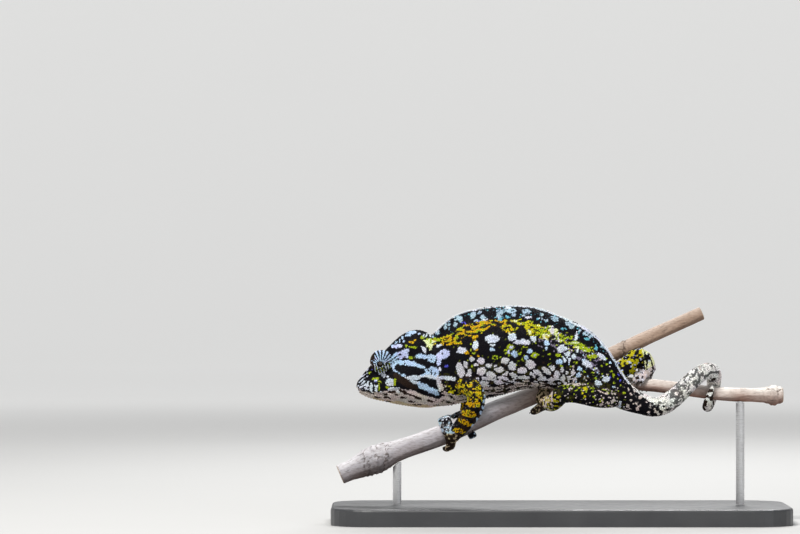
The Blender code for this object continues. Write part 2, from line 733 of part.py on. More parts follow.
def foot(name, rows, x, bundles, palm, limb_rows, outward, finish, home, cutters, neighbours):
    """A grasping foot: a palm and two bundles of toes on opposite sides of the stem."""
    builder = bmesh.new()
    bmesh.ops.create_icosphere(builder, subdivisions=2, radius=1.0)
    bmesh.ops.scale(builder, vec=Vector(palm[1]) * MM, verts=builder.verts)
    bmesh.ops.translate(builder, vec=Vector(palm[0]) * MM, verts=builder.verts)
    pieces = [link_mesh(name, builder, finish, home)]
    root = np.array(limb_rows[-1][:3])
    width = limb_rows[-1][3]
    inner = np.array(palm[0])
    ahead = root - np.array(limb_rows[-2][:3])
    ahead /= np.linalg.norm(ahead)
    path = np.array([root - ahead * 0.1, root + ahead * 0.6, (root + ahead * 0.8 + inner) / 2, inner])
    widths = width * np.array([1.0, 0.99, 0.92, 0.6])
    pieces.append(loft("heel", tube_rings(path, widths, LIMB_SIDES), finish, home))
    for count, first_angle, last_angle, first_slide, last_slide, stout in bundles:
        for i in range(count):
            aside = (i - (count - 1) / 2) * TOE_SPACING
            pieces += toe(
                rows, x, first_angle, last_angle - abs(i - (count - 1) / 2) * 6,
                first_slide + aside * 0.75, last_slide + aside, stout, outward, finish, home,
            )
    made = fuse(name, pieces, home)
    for neighbour in neighbours:
        tool = grown(neighbour, GAP, cutters)
        boolean(made, tool, "DIFFERENCE")
        bpy.data.objects.remove(tool, do_unlink=True)
    return made


def build():
    """Makes every node."""
    clear_scene()
    home = collection("carpet_chameleon")
    cutters = collection("cutters")
    skin = material("skin", SKIN, 0.6)
    pale = material("skin_pale", SKIN_PALE, 0.6)
    dark = material("eye", EYE_DARK, 0.15)
    bark = material("bark", BARK, 0.8)
    wood = material("stand_wood", STAND_WOOD, 0.4)
    steel = material("steel", STEEL, 0.3, 1.0)

    branch = stem("perch_branch", BRANCH, bark, home)
    twig = stem("perch_twig", TWIG, bark, home)
    branch_room = grown(branch, GAP, cutters)
    twig_room = grown(twig, GAP, cutters)
    boolean(twig, branch_room, "DIFFERENCE")

    head_and_jaw(home, cutters, skin, dark)
    neck = loft("neck", trunk_rings(HEAD_END, NECK_END, 7, TRUNK_SIDES), skin, home)
    torso = loft("torso", trunk_rings(NECK_END, TORSO_END, 32, TRUNK_SIDES), skin, home)
    tail_base = loft("tail_base", trunk_rings(TORSO_END, TAIL_BASE_END, 12, TAIL_SIDES), pale, home)
    loft("tail_middle", trunk_rings(TAIL_BASE_END, TAIL_MIDDLE_END, 8, TAIL_SIDES), pale, home)
    loft("tail_bend", trunk_rings(TAIL_MIDDLE_END, TAIL_BEND_END, 10, TAIL_SIDES), pale, home)
    last = float(len(TRUNK) + len(TAIL) - 1)
    wrap = loft("tail_wrap", trunk_rings(TAIL_BEND_END, TAIL_WRAP_END, 10, TAIL_SIDES), pale, home)
    tip = loft("tail_tip", trunk_rings(TAIL_WRAP_END, last, 9, TAIL_SIDES), pale, home)
    boolean(torso, branch_room, "DIFFERENCE")
    boolean(wrap, twig_room, "DIFFERENCE")
    boolean(tip, twig_room, "DIFFERENCE")

    whole = loft("trunk_room", trunk_rings(0.0, TAIL_BASE_END, 60, TRUNK_SIDES), skin, cutters)
    trunk_room = grown(whole, GAP, cutters)
    bpy.data.objects.remove(whole, do_unlink=True)
    _, left_forearm = limb(("upper_arm_left", "forearm_left"), LEFT_ARM, ELBOW, skin, home, cutters, [trunk_room])
    _, right_forearm = limb(
        ("upper_arm_right", "forearm_right"), RIGHT_ARM, RIGHT_ELBOW, skin, home, cutters, [trunk_room]
    )
    _, left_shank = limb(("thigh_left", "shank_left"), LEFT_LEG, KNEE, skin, home, cutters, [trunk_room])
    _, right_shank = limb(
        ("thigh_right", "shank_right"), RIGHT_LEG, RIGHT_KNEE, skin, home, cutters, [trunk_room, twig_room]
    )

    foot(
        "forefoot_left", BRANCH, -37.9,
        [(3, 5, 118, 1.0, 0.5, 1.15), (2, -10, -112, 0.8, 4.0, 1.3)],
        ((-37.8, -4.6, 30.1), (2.9, 2.0, 2.6)), LEFT_ARM, -1.0,
        skin, home, cutters, [branch, left_forearm],
    )
    foot(
        "forefoot_right", BRANCH, -33.0,
        [(3, 10, 85, 0.2, 1.6, 1.0), (2, -10, -128, -0.4, -0.2, 1.0)],
        ((-33.0, 7.6, 33.4), (2.4, 1.8, 2.3)), RIGHT_ARM, 1.0,
        skin, home, cutters, [branch, right_forearm],
    )
    foot(
        "hindfoot_left", BRANCH, -6.0,
        [(2, -15, 42, -0.2, 0.8, 1.0), (3, -48, -88, 1.2, 5.4, 1.65)],
        ((-5.9, -1.2, 43.5), (2.9, 2.3, 3.3)), LEFT_LEG, -1.0,
        skin, home, cutters, [branch, left_shank, torso],
    )
    foot(
        "hindfoot_right", TWIG, 30.5,
        [(3, 80, 18, 1.6, 3.4, 1.0), (2, 105, 205, -0.2, 0.6, 1.0)],
        ((30.1, 0.45, 52.3), (3.0, 2.2, 2.2)), RIGHT_LEG, -1.0,
        skin, home, cutters, [twig, right_shank],
    )

    stand(home, cutters, wood, steel, branch, twig)
    for tool in list(cutters.objects):
        bpy.data.objects.remove(tool, do_unlink=True)
    bpy.data.collections.remove(cutters)


build()
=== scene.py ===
"""A life-size carpet chameleon on a forked twig, held by a plain display stand. Metres, +Z up.

The head points along -X and the left side faces -Y. Sizes are in millimetres, and MM makes them
metres.
"""

import math

import bmesh
import bpy
import numpy as np
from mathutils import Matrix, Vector
from mathutils.bvhtree import BVHTree
from mathutils.kdtree import KDTree


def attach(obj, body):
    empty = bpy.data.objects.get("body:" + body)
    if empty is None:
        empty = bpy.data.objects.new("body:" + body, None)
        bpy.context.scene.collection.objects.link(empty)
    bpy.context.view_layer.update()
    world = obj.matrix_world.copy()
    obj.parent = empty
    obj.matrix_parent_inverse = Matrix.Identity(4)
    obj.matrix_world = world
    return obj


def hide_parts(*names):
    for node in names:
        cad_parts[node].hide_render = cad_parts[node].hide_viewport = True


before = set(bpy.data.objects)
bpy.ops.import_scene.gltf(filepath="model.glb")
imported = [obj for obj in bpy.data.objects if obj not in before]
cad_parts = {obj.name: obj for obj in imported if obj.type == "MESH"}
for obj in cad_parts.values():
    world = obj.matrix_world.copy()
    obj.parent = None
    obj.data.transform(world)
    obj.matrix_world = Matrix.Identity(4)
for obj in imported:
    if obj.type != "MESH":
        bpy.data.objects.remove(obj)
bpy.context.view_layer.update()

# The stand's base is a flat hardwood block with rounded corners and a softened top edge, sprayed
# with satin charcoal paint. The paint has a fine orange peel and a slightly clouded gloss.
MM = 0.001


def new_material(name, values=()):
    """A Principled material with values for some inputs: the material, its nodes and the shader."""
    made = bpy.data.materials.new(name)
    made.use_nodes = True
    tree = made.node_tree
    shader = tree.nodes["Principled BSDF"]
    for key, value in dict(values).items():
        shader.inputs[key].default_value = value
    return made, tree, shader


def add_node(tree, kind, values=(), **settings):
    """A node with settings, and values for its inputs by name or number."""
    node = tree.nodes.new("ShaderNode" + kind)
    for key, value in settings.items():
        setattr(node, key, value)
    for key, value in dict(values).items():
        node.inputs[key].default_value = value
    return node


def object_noise(tree, scale, detail=3.0, stretch=(1.0, 1.0, 1.0), rough=0.5):
    """Noise fixed to the piece, its features 1 / scale metres across, stretched along the axes."""
    place = add_node(tree, "TexCoord")
    mapping = add_node(tree, "Mapping", {"Scale": stretch})
    noise = add_node(tree, "TexNoise", {"Scale": scale, "Detail": detail, "Roughness": rough})
    tree.links.new(place.outputs["Object"], mapping.inputs["Vector"])
    tree.links.new(mapping.outputs["Vector"], noise.inputs["Vector"])
    return noise.outputs["Fac"]


def ramp(tree, source, target, *stops):
    """Feeds an input with colours or greys between stops of (place, colour)."""
    node = add_node(tree, "ValToRGB")
    tree.links.new(source, node.inputs["Fac"])
    marks = node.color_ramp.elements
    while len(marks) < len(stops):
        marks.new(0.5)
    for mark, (place, colour) in zip(marks, stops):
        mark.position = place
        mark.color = (*colour, 1.0) if isinstance(colour, tuple) else (colour, colour, colour, 1.0)
    tree.links.new(node.outputs["Color"], target)


def varied(tree, source, target, low, high):
    """Feeds an input with a colour or grey that the noise moves between two."""
    ramp(tree, source, target, (0.3, low), (0.7, high))


def bumped(tree, shader, source, depth):
    """A bump of the given depth in metres."""
    node = add_node(tree, "Bump", {"Strength": 1.0, "Distance": depth})
    tree.links.new(source, node.inputs["Height"])
    tree.links.new(node.outputs["Normal"], shader.inputs["Normal"])


def dressed(node, finish):
    """Gives a solid that stays as it is its finish."""
    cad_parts[node].data.materials.clear()
    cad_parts[node].data.materials.append(finish)


paint, tree, shader = new_material("satin_charcoal_paint", {"Specular IOR Level": 0.45})
cloud = object_noise(tree, 60.0, 4.0)
varied(tree, cloud, shader.inputs["Base Color"], (0.034, 0.035, 0.038), (0.046, 0.047, 0.05))
varied(tree, object_noise(tree, 220.0, 3.0), shader.inputs["Roughness"], 0.36, 0.46)
bumped(tree, shader, object_noise(tree, 1500.0, 2.0), 0.00003)
dressed("stand_base", paint)

# Two short rods of brushed stainless steel stand in the base and end against the undersides of the
# two stems. They are drawn bar, brushed round, so the fine scratches run round each rod.
steel, tree, shader = new_material("brushed_steel", {"Metallic": 1.0})
scratch = object_noise(tree, 900.0, 5.0, (0.25, 0.25, 9.0), 0.65)
varied(tree, scratch, shader.inputs["Base Color"], (0.50, 0.50, 0.51), (0.66, 0.66, 0.67))
varied(tree, scratch, shader.inputs["Roughness"], 0.24, 0.38)
bumped(tree, shader, scratch, 0.00001)
for rod in ("stand_rod_front", "stand_rod_rear"):
    dressed(rod, steel)

# The perch is a length of a forked branch, cut and dried with its bark on. The bark is greyish
# beige, with fine cracks along it and ringed knots; painted light makes its upper side paler and
# painted shade makes it browner below.
BARK_GRAIN = 0.34
BARK_SWELL = 0.02
STEMS = {
    "perch_branch": [(-77, 0.4, 16.6), (-62.5, 0.8, 22.6), (-38.5, 1.4, 31.6), (-10.5, 3.2, 43.8),
        (12, 7.6, 55), (50.5, 14.6, 73)],
    "perch_twig": [(2.5, 5.2, 50.2), (20, 1.6, 48.7), (45.5, 0, 46.1), (63, -0.5, 44.6),
        (78, -1.1, 44.5)],
}
# Ringed knots, as x and half length in millimetres, on each stem.
KNOTS = {"perch_branch": [(-64.5, 5.5), (22.0, 1.6)], "perch_twig": [(75.0, 3.0), (27.0, 1.2)]}
# The bark's colour below, at the side and above, which is painted shade below and painted light
# above: first in the open, then greyer, as a painted shadow under the belly towards the front end.
BARK_HUES = {
    "perch_branch": (
        [(0.20, 0.12, 0.08), (0.31, 0.22, 0.165), (0.46, 0.375, 0.32)],
        [(0.19, 0.14, 0.125), (0.35, 0.335, 0.36), (0.56, 0.555, 0.585)],
    ),
    "perch_twig": ([(0.27, 0.13, 0.09), (0.46, 0.375, 0.335), (0.74, 0.70, 0.66)],) * 2,
}
# Primes that spread the cells of the noise, one for each axis.
CELL_PRIMES = np.array([73856093, 19349663, 83492791])


def unit(values):
    """Values held between 0 and 1."""
    return np.clip(values, 0, 1)


def soft_noise(places, size, seed):
    """Smooth noise from -1 to 1 at places in millimetres, its features about size across."""
    spot = places / size + seed * 17.31
    low = np.floor(spot).astype(np.int64)
    share = spot - low
    share = share * share * (3.0 - 2.0 * share)
    total = np.zeros(len(places))
    for corner in range(8):
        step = np.array([corner & 1, corner >> 1 & 1, corner >> 2 & 1])
        cell = low + step
        key = (cell * CELL_PRIMES).sum(axis=1) + seed * 9176
        key = (key ^ (key >> 13)) * 1274126177 & 0x7FFFFFFF
        value = ((key ^ (key >> 16)) % 65536) / 32767.5 - 1.0
        weight = np.where(step, share, 1.0 - share).prod(axis=1)
        total += value * weight
    return total


def mesh_places(mesh):
    """The vertices of a mesh, in millimetres."""
    places = np.empty(len(mesh.vertices) * 3, np.float32)
    mesh.vertices.foreach_get("co", places)
    return places.reshape(-1, 3).astype(float) / MM


def mesh_normals(mesh):
    """The vertex normals of a mesh."""
    normals = np.empty(len(mesh.vertices) * 3, np.float32)
    mesh.vertex_normals.foreach_get("vector", normals)
    return normals.reshape(-1, 3).astype(float)


def set_places(mesh, places):
    """Moves a mesh's vertices to places in millimetres."""
    mesh.vertices.foreach_set("co", (places * MM).astype(np.float32).ravel())
    mesh.update()


def set_colours(mesh, name, colours):
    """Linear colours, one for each vertex, under an attribute's name."""
    layer = mesh.color_attributes.new(name, "FLOAT_COLOR", "POINT")
    full = np.ones((len(colours), 4), np.float32)
    full[:, :3] = colours
    layer.data.foreach_set("color", full.ravel())


def placed(name, data):
    """A new object in the scene."""
    made = bpy.data.objects.new(name, data)
    bpy.context.scene.collection.objects.link(made)
    return made


def finished_mesh(name, shape, finish):
    """A smooth-shaded mesh of this material from a finished bmesh."""
    mesh = bpy.data.meshes.new(name)
    shape.to_mesh(mesh)
    shape.free()
    mesh.shade_smooth()
    mesh.materials.append(finish)
    return mesh


def poured_over(name, nodes, swell, grain, soften):
    """One unbroken surface over the named solids, which swell first so that their joints close."""
    shape = bmesh.new()
    for node in nodes:
        piece = bmesh.new()
        piece.from_mesh(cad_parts[node].data)
        bmesh.ops.remove_doubles(piece, verts=piece.verts, dist=0.000001)
        piece.normal_update()
        for vert in piece.verts:
            vert.co += vert.normal * min(vert.calc_shell_factor(), 1.6) * swell * MM
        swelled = bpy.data.meshes.new(name)
        piece.to_mesh(swelled)
        piece.free()
        shape.from_mesh(swelled)
        bpy.data.meshes.remove(swelled)
    mesh = bpy.data.meshes.new(name)
    shape.to_mesh(mesh)
    shape.free()
    made = placed(name, mesh)
    remesh = made.modifiers.new("one_surface", "REMESH")
    remesh.mode = "VOXEL"
    remesh.voxel_size = grain * MM
    smooth = made.modifiers.new("soften", "SMOOTH")
    smooth.factor = 0.5
    smooth.iterations = soften
    evaluated = made.evaluated_get(bpy.context.evaluated_depsgraph_get())
    finished = bpy.data.meshes.new_from_object(evaluated)
    made.modifiers.clear()
    made.data = finished
    bpy.data.meshes.remove(mesh)
    finished.name = name
    finished.shade_smooth()
    return made


def along_line(places, line):
    """Distance along a line of points, direction there and distance off it, for each place."""
    line = np.asarray(line, float)
    best = np.full(len(places), np.inf)
    run = np.zeros(len(places))
    ahead = np.zeros((len(places), 3))
    start = 0.0
    for near, far in zip(line, line[1:]):
        step = far - near
        length = np.linalg.norm(step)
        share = unit((places - near) @ step / length**2)
        away = np.linalg.norm(places - near - share[:, None] * step, axis=1)
        nearer = away < best
        best = np.where(nearer, away, best)
        run = np.where(nearer, start + share * length, run)
        ahead[nearer] = step / length
        start += length
    return run, ahead, best


def bell(values, middle, spread):
    """A bell of height one."""
    return np.exp(-(((values - middle) / spread) ** 2))


bark, tree, shader = new_material("dry_bark", {"Specular IOR Level": 0.3})
tint = add_node(tree, "Attribute", attribute_name="bark_tint")
grain = object_noise(tree, 2400.0, 4.0, (0.22, 1.0, 0.8), 0.6)
mixed = add_node(tree, "Mix", {"Factor": 0.75}, data_type="RGBA", blend_type="MULTIPLY")
tree.links.new(tint.outputs["Color"], mixed.inputs["A"])
ramp(tree, grain, mixed.inputs["B"], (0.30, (0.52, 0.47, 0.44)), (0.52, (0.92, 0.90, 0.88)),
    (0.70, (1.0, 1.0, 1.0)))
tree.links.new(mixed.outputs["Result"], shader.inputs["Base Color"])
varied(tree, grain, shader.inputs["Roughness"], 0.82, 0.66)
bumped(tree, shader, grain, 0.00012)
for node, line in STEMS.items():
    stem = poured_over(node + "_bark", [node], BARK_SWELL, BARK_GRAIN, 3)
    places = mesh_places(stem.data)
    x = places[:, 0]
    normals = mesh_normals(stem.data)
    run, ahead, _ = along_line(places, line)
    across = places - run[:, None] * ahead
    stretched = across + ahead * (run * 0.16)[:, None]
    sides = 1.0 - np.abs((normals * ahead).sum(axis=1))
    cracks = soft_noise(stretched, 0.55, 3) * 0.6 + soft_noise(stretched, 1.1, 4) * 0.4
    dents = soft_noise(places, 4.5, 5)
    lift = 0.09 * dents - 0.13 * unit(cracks - 0.25) - 0.06
    rings = np.zeros(len(places))
    for knot, half in KNOTS[node]:
        here = bell(x, knot, half)
        rings = np.maximum(rings, here)
        waves = np.sin((x - knot) * 2 * np.pi / 1.7 + soft_noise(places, 3.0, 6))
        lift += here * (0.13 * waves + 0.16 * soft_noise(places, 1.4, 7))
    set_places(stem.data, places + normals * (lift * unit(sides * 2))[:, None])
    # Painted light and shade: the bark is painted paler where it faces up and browner where it
    # faces down.
    up = unit(normals[:, 2] * 0.5 + 0.5 + 0.15 * soft_noise(places, 6.0, 8))[:, None]
    lean = unit(0.5 + 0.5 * soft_noise(stretched, 2.2, 9))[:, None]
    # Painted shadow: the bark is painted greyer towards the front end, as the shade under the
    # belly.
    shaded = unit((-x - 2) / 22)[:, None]
    unshadowed_bark_hues, painted_shadow_bark_hues = np.array(BARK_HUES[node])
    under, middle, over = (warm + (grey - warm) * shaded for warm, grey in zip(unshadowed_bark_hues, painted_shadow_bark_hues))
    colour = np.where(up < 0.5, under + (middle - under) * up * 2,
        middle + (over - middle) * (up * 2 - 1))
    colour = colour * (0.80 + 0.3 * lean)
    rough_patch = unit(rings * (0.5 + 0.7 * soft_noise(places, 1.3, 10)))[:, None]
    colour = colour * (1 - 0.30 * rough_patch)
    seams = soft_noise(places * (1.5, 1, 1), 3.4, 12) + 0.2 * soft_noise(places, 0.8, 13)
    splits = (rings > 0.40) & (np.abs(seams) < 0.06)
    colour[splits] *= (0.34, 0.30, 0.28)
    specks = unit(soft_noise(stretched, 0.7, 11) - 0.62)[:, None] * 2.2
    colour = colour * (1 - np.clip(specks, 0, 0.6))
    ends = unit((0.45 - sides) * 4)[:, None]
    years = np.cos(along_line(places, line)[2] * 9)
    wood = np.array((0.50, 0.36, 0.22)) * (0.85 + 0.15 * years)[:, None]
    colour = colour * (1 - ends) + wood * ends
    set_colours(stem.data, "bark_tint", colour)
    stem.data.materials.append(bark)
    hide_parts(node)
    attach(stem, "root")

# The animal is cast whole in pigmented silicone rubber from a carved master, so its skin runs
# unbroken from lips to tail tip. Lips, nostrils, eyelids and folds are part of the cast.
LIMBS = ("upper_arm", "forearm", "forefoot", "thigh", "shank", "hindfoot")
LIMBS = [limb + "_" + side for limb in LIMBS for side in ("left", "right")]
TRUNK = ["head", "lower_jaw", "neck", "torso", "tail_base", "tail_middle", "tail_bend",
    "tail_wrap", "tail_tip"]
FLESH = TRUNK + ["eyelid_left", "eyelid_right"] + LIMBS
SKIN_GRAIN = 0.40
SKIN_SWELL = 0.22
COAT_DEPTH = 0.17
EYES = {"left": ((-62.7, -4.55, 56.2), (-0.10, -1.0, -0.28)),
    "right": ((-62.7, 4.55, 56.2), (-0.40, 1.0, 0.06))}
LIPS = [(-72.5, 46.5), (-71, 46.6), (-68.2, 45.6), (-65.2, 44.9), (-62.4, 44.9), (-59.6, 45.5),
    (-57.2, 46.5), (-55.9, 46.9)]
NOSTRIL = (-68.3, 50.4)
MIDLINE = [(-71, 0), (-45, -0.5), (-25, -1.2), (-13, -2.2), (-7, -3.1), (-0.7, -4.4), (5, -5.7),
    (10.5, -6.9), (15, -7.9), (20, -9), (25, -9.5), (29, -9.6)]
ARM = [(-34.3, -3.6, 48.4), (-31.6, -8.2, 47.3), (-29.5, -11, 44.7), (-30, -11, 41),
    (-31.9, -9.4, 37.4), (-36.1, -6.3, 31.9)]
FAR_ARM = [(-34.6, 2.4, 48.4), (-33.6, 7.4, 46.7), (-32.4, 9.9, 43.8), (-32.2, 10.3, 40.5),
    (-32.8, 9.5, 37.4), (-33.4, 8.7, 35.2)]
LEG = [(21.8, -8.9, 44.6), (13.4, -13, 43.7), (4.4, -13.4, 45.5), (0.2, -12, 45), (-1.6, -9.4, 43),
    (-3, -6.6, 41.7), (-4.2, -4.6, 41.5)]
FAR_LEG = [(15.4, -5.6, 49.4), (19.6, -2.6, 51.6), (24, -1, 55.4), (27.5, -0.3, 58.4),
    (30.1, 0.3, 57), (31.3, 0.5, 54.3)]
TAIL = [(25.6, -9.5, 43), (31.9, -9.8, 40.5), (39.2, -8.6, 43.5), (45.5, -6.4, 49.4),
    (51.4, -3.6, 53), (53.4, -0.8, 52.2), (54, 2.5, 49.8), (53.9, 5.1, 46.2), (52.8, 4.2, 42),
    (51.5, 0, 40.2), (51.6, -4, 42.3), (52.6, -4.4, 46), (53.2, -3.6, 48)]
# Where the skin wrinkles on the limbs: line of the limb, distance along it, reach.
WRINKLES = [(ARM, 13.0, 2.6), (ARM, 20.8, 2.0), (FAR_ARM, 12.5, 2.4), (LEG, 20.5, 3.0),
    (LEG, 27.0, 2.0), (FAR_LEG, 14.0, 2.4)]


def finer(mesh, near):
    """Halves the edges between chosen vertices, and eases the new ones into the surface."""
    shape = bmesh.new()
    shape.from_mesh(mesh)
    shape.verts.ensure_lookup_table()
    edges = [edge for edge in shape.edges if all(near[vert.index] for vert in edge.verts)]
    cut = bmesh.ops.subdivide_edges(shape, edges=edges, cuts=1, use_grid_fill=True)
    fresh = [item for item in cut["geom_inner"] if isinstance(item, bmesh.types.BMVert)]
    for _ in range(2):
        bmesh.ops.smooth_vert(shape, verts=fresh, factor=0.5, use_axis_x=True, use_axis_y=True,
            use_axis_z=True)
    shape.to_mesh(mesh)
    shape.free()
    mesh.shade_smooth()


def about_eye(places, side):
    """Height of places along an eye's gaze, and their distance from it."""
    middle, gaze = (np.array(part) for part in EYES[side])
    gaze = gaze / np.linalg.norm(gaze)
    away = places - middle
    height = away @ gaze
    return height, np.linalg.norm(away - height[:, None] * gaze, axis=1)


def off_lips(places):
    """Distance from the line of the mouth, seen from the side."""
    flat = places[:, [0, 2]]
    flat = np.column_stack([flat, np.zeros(len(flat))])
    return along_line(flat, [(x, z, 0.0) for x, z in LIPS])


def label_parts(places):
    """The number in FLESH of the solid that each place lies on."""
    corners, faces, owner = [], [], []
    for number, node in enumerate(FLESH):
        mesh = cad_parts[node].data
        start = len(corners)
        corners += [tuple(vert.co / MM) for vert in mesh.vertices]
        faces += [tuple(start + index for index in face.vertices) for face in mesh.polygons]
        owner += [number] * len(mesh.polygons)
    tree = BVHTree.FromPolygons(corners, faces)
    return np.array([owner[tree.find_nearest(Vector(place))[2]] for place in places])


def on_part(parts, *nodes):
    """Whether each part number is one of these nodes."""
    return np.isin(parts, [FLESH.index(node) for node in nodes])


def mid_y(places):
    """Sideways place of the animal's midline beside each place."""
    line = np.array(MIDLINE, float)
    return np.interp(places[:, 0], line[:, 0], line[:, 1])


skin = poured_over("skin", FLESH + ["eye_left", "eye_right"], SKIN_SWELL, SKIN_GRAIN, 6)
set_places(skin.data, mesh_places(skin.data) - mesh_normals(skin.data) * (SKIN_SWELL + COAT_DEPTH))
for reach, lip_reach in ((4.6, 1.2), (1.7, 0.0)):
    places = mesh_places(skin.data)
    near = off_lips(places)[2] < lip_reach
    for side in EYES:
        height, aside = about_eye(places, side)
        near |= (aside < reach) & (height > -0.5)
    finer(skin.data, near)

places = mesh_places(skin.data)
x, y, z = places.T
normals = mesh_normals(skin.data)
parts = label_parts(places)
on_head = on_part(parts, "head", "lower_jaw", "neck")
lip_off = off_lips(places)[2]
lift = -0.30 * bell(lip_off, 0, 0.30) + 0.14 * bell(lip_off, 0.85, 0.40)
from_nostril = np.hypot(x - NOSTRIL[0], z - NOSTRIL[1])
lift += 0.12 * bell(from_nostril, 0.9, 0.35) - 0.5 * bell(from_nostril, 0, 0.5)
folds = bell(x, -50, 11) * unit((47.5 - z) / 2.0)
pleats = z * 0.95 - np.abs(y) * 0.8 + 0.10 * x
lift += 0.22 * folds * np.sin(pleats * 2 * np.pi / 2.3 + soft_noise(places, 5, 21))
lift *= on_head
for side in EYES:
    height, aside = about_eye(places, side)
    here = (height > -0.6) & (aside < 5.5) & on_part(parts, "head", "eyelid_" + side)
    lift -= here * 0.22 * bell(aside, 4.35, 0.40)
flank = on_part(parts, "torso") * bell(z, 57, 9) * bell(x, -9, 17)
lift += flank * 0.14 * np.sin((x + 0.35 * z) * 2 * np.pi / 4.6)
pit = places - np.array((-34.6, -8.0, 42.5))
fan = np.arctan2(pit[:, 2], pit[:, 0])
armpit = (bell(np.hypot(pit[:, 0], pit[:, 2]), 4.5, 2.6) * (y < mid_y(places))
    * on_part(parts, "torso", "neck"))
lift += armpit * 0.20 * np.sin(fan * 13)
on_limb = parts >= FLESH.index("upper_arm_left")
for line, run_to, spread in WRINKLES:
    run, _, away = along_line(places, line)
    creases = 0.09 * bell(run, run_to, spread) * np.sin(run * 2 * np.pi / 0.95)
    lift += (away < 4.5) * on_limb * creases
run = along_line(places, TAIL)[0]
lift += on_part(parts, *TRUNK[5:]) * 0.06 * np.sin(run * 2 * np.pi / 1.25)
lift += 0.05 * soft_noise(places, 1.8, 22)
set_places(skin.data, places + normals * lift[:, None])
places = mesh_places(skin.data)
for side in EYES:
    height, aside = about_eye(places, side)
    gaze = np.array(EYES[side][1]) / np.linalg.norm(EYES[side][1])
    front = height > 1.2
    sunk = 1.15 * unit((1.02 - aside) / 0.30) ** 0.8
    rim = 0.16 * bell(aside, 1.28, 0.22)
    rings = (0.05 * np.sin(aside * 2 * np.pi / 0.62) * unit((aside - 1.4) * 2)
        * unit((4.2 - aside) * 2))
    places += (front * (rim + rings - sunk))[:, None] * gaze
set_places(skin.data, places)

# The colours are laid on by hand over a near-black ground: white, pale blue and yellow marks, with
# a dark wash between. Each mark on the left side was set over the photograph, in its pixels,
# which run right and down and measure 0.35 mm at the body. The right side, which no picture shows,
# has the same marks, shifted and redrawn.
PIXEL = 0.35
# The pixel column and row of the model's origin.
ORIGIN_RIGHT = 560
ORIGIN_DOWN = 522
INK = {
    "black": (0.004, 0.0035, 0.006), "brown": (0.024, 0.013, 0.009), "olive": (0.030, 0.028, 0.005),
    "white": (0.64, 0.70, 0.80), "lilac": (0.54, 0.59, 0.84), "blue": (0.45, 0.61, 0.82),
    "ice": (0.36, 0.49, 0.60), "mist": (0.13, 0.22, 0.30), "ivory": (0.86, 0.84, 0.81),
    "silver": (0.40, 0.395, 0.39), "shell": (0.64, 0.63, 0.68), "rose": (0.60, 0.52, 0.485),
    "tan": (0.55, 0.43, 0.29), "grey": (0.13, 0.128, 0.125), "cyan": (0.13, 0.42, 0.52),
    "violet": (0.09, 0.09, 0.58), "dusk": (0.20, 0.175, 0.25), "amber": (0.60, 0.345, 0.003),
    "yellow": (0.52, 0.46, 0.006), "lime": (0.33, 0.42, 0.012), "cream": (0.72, 0.76, 0.42),
}
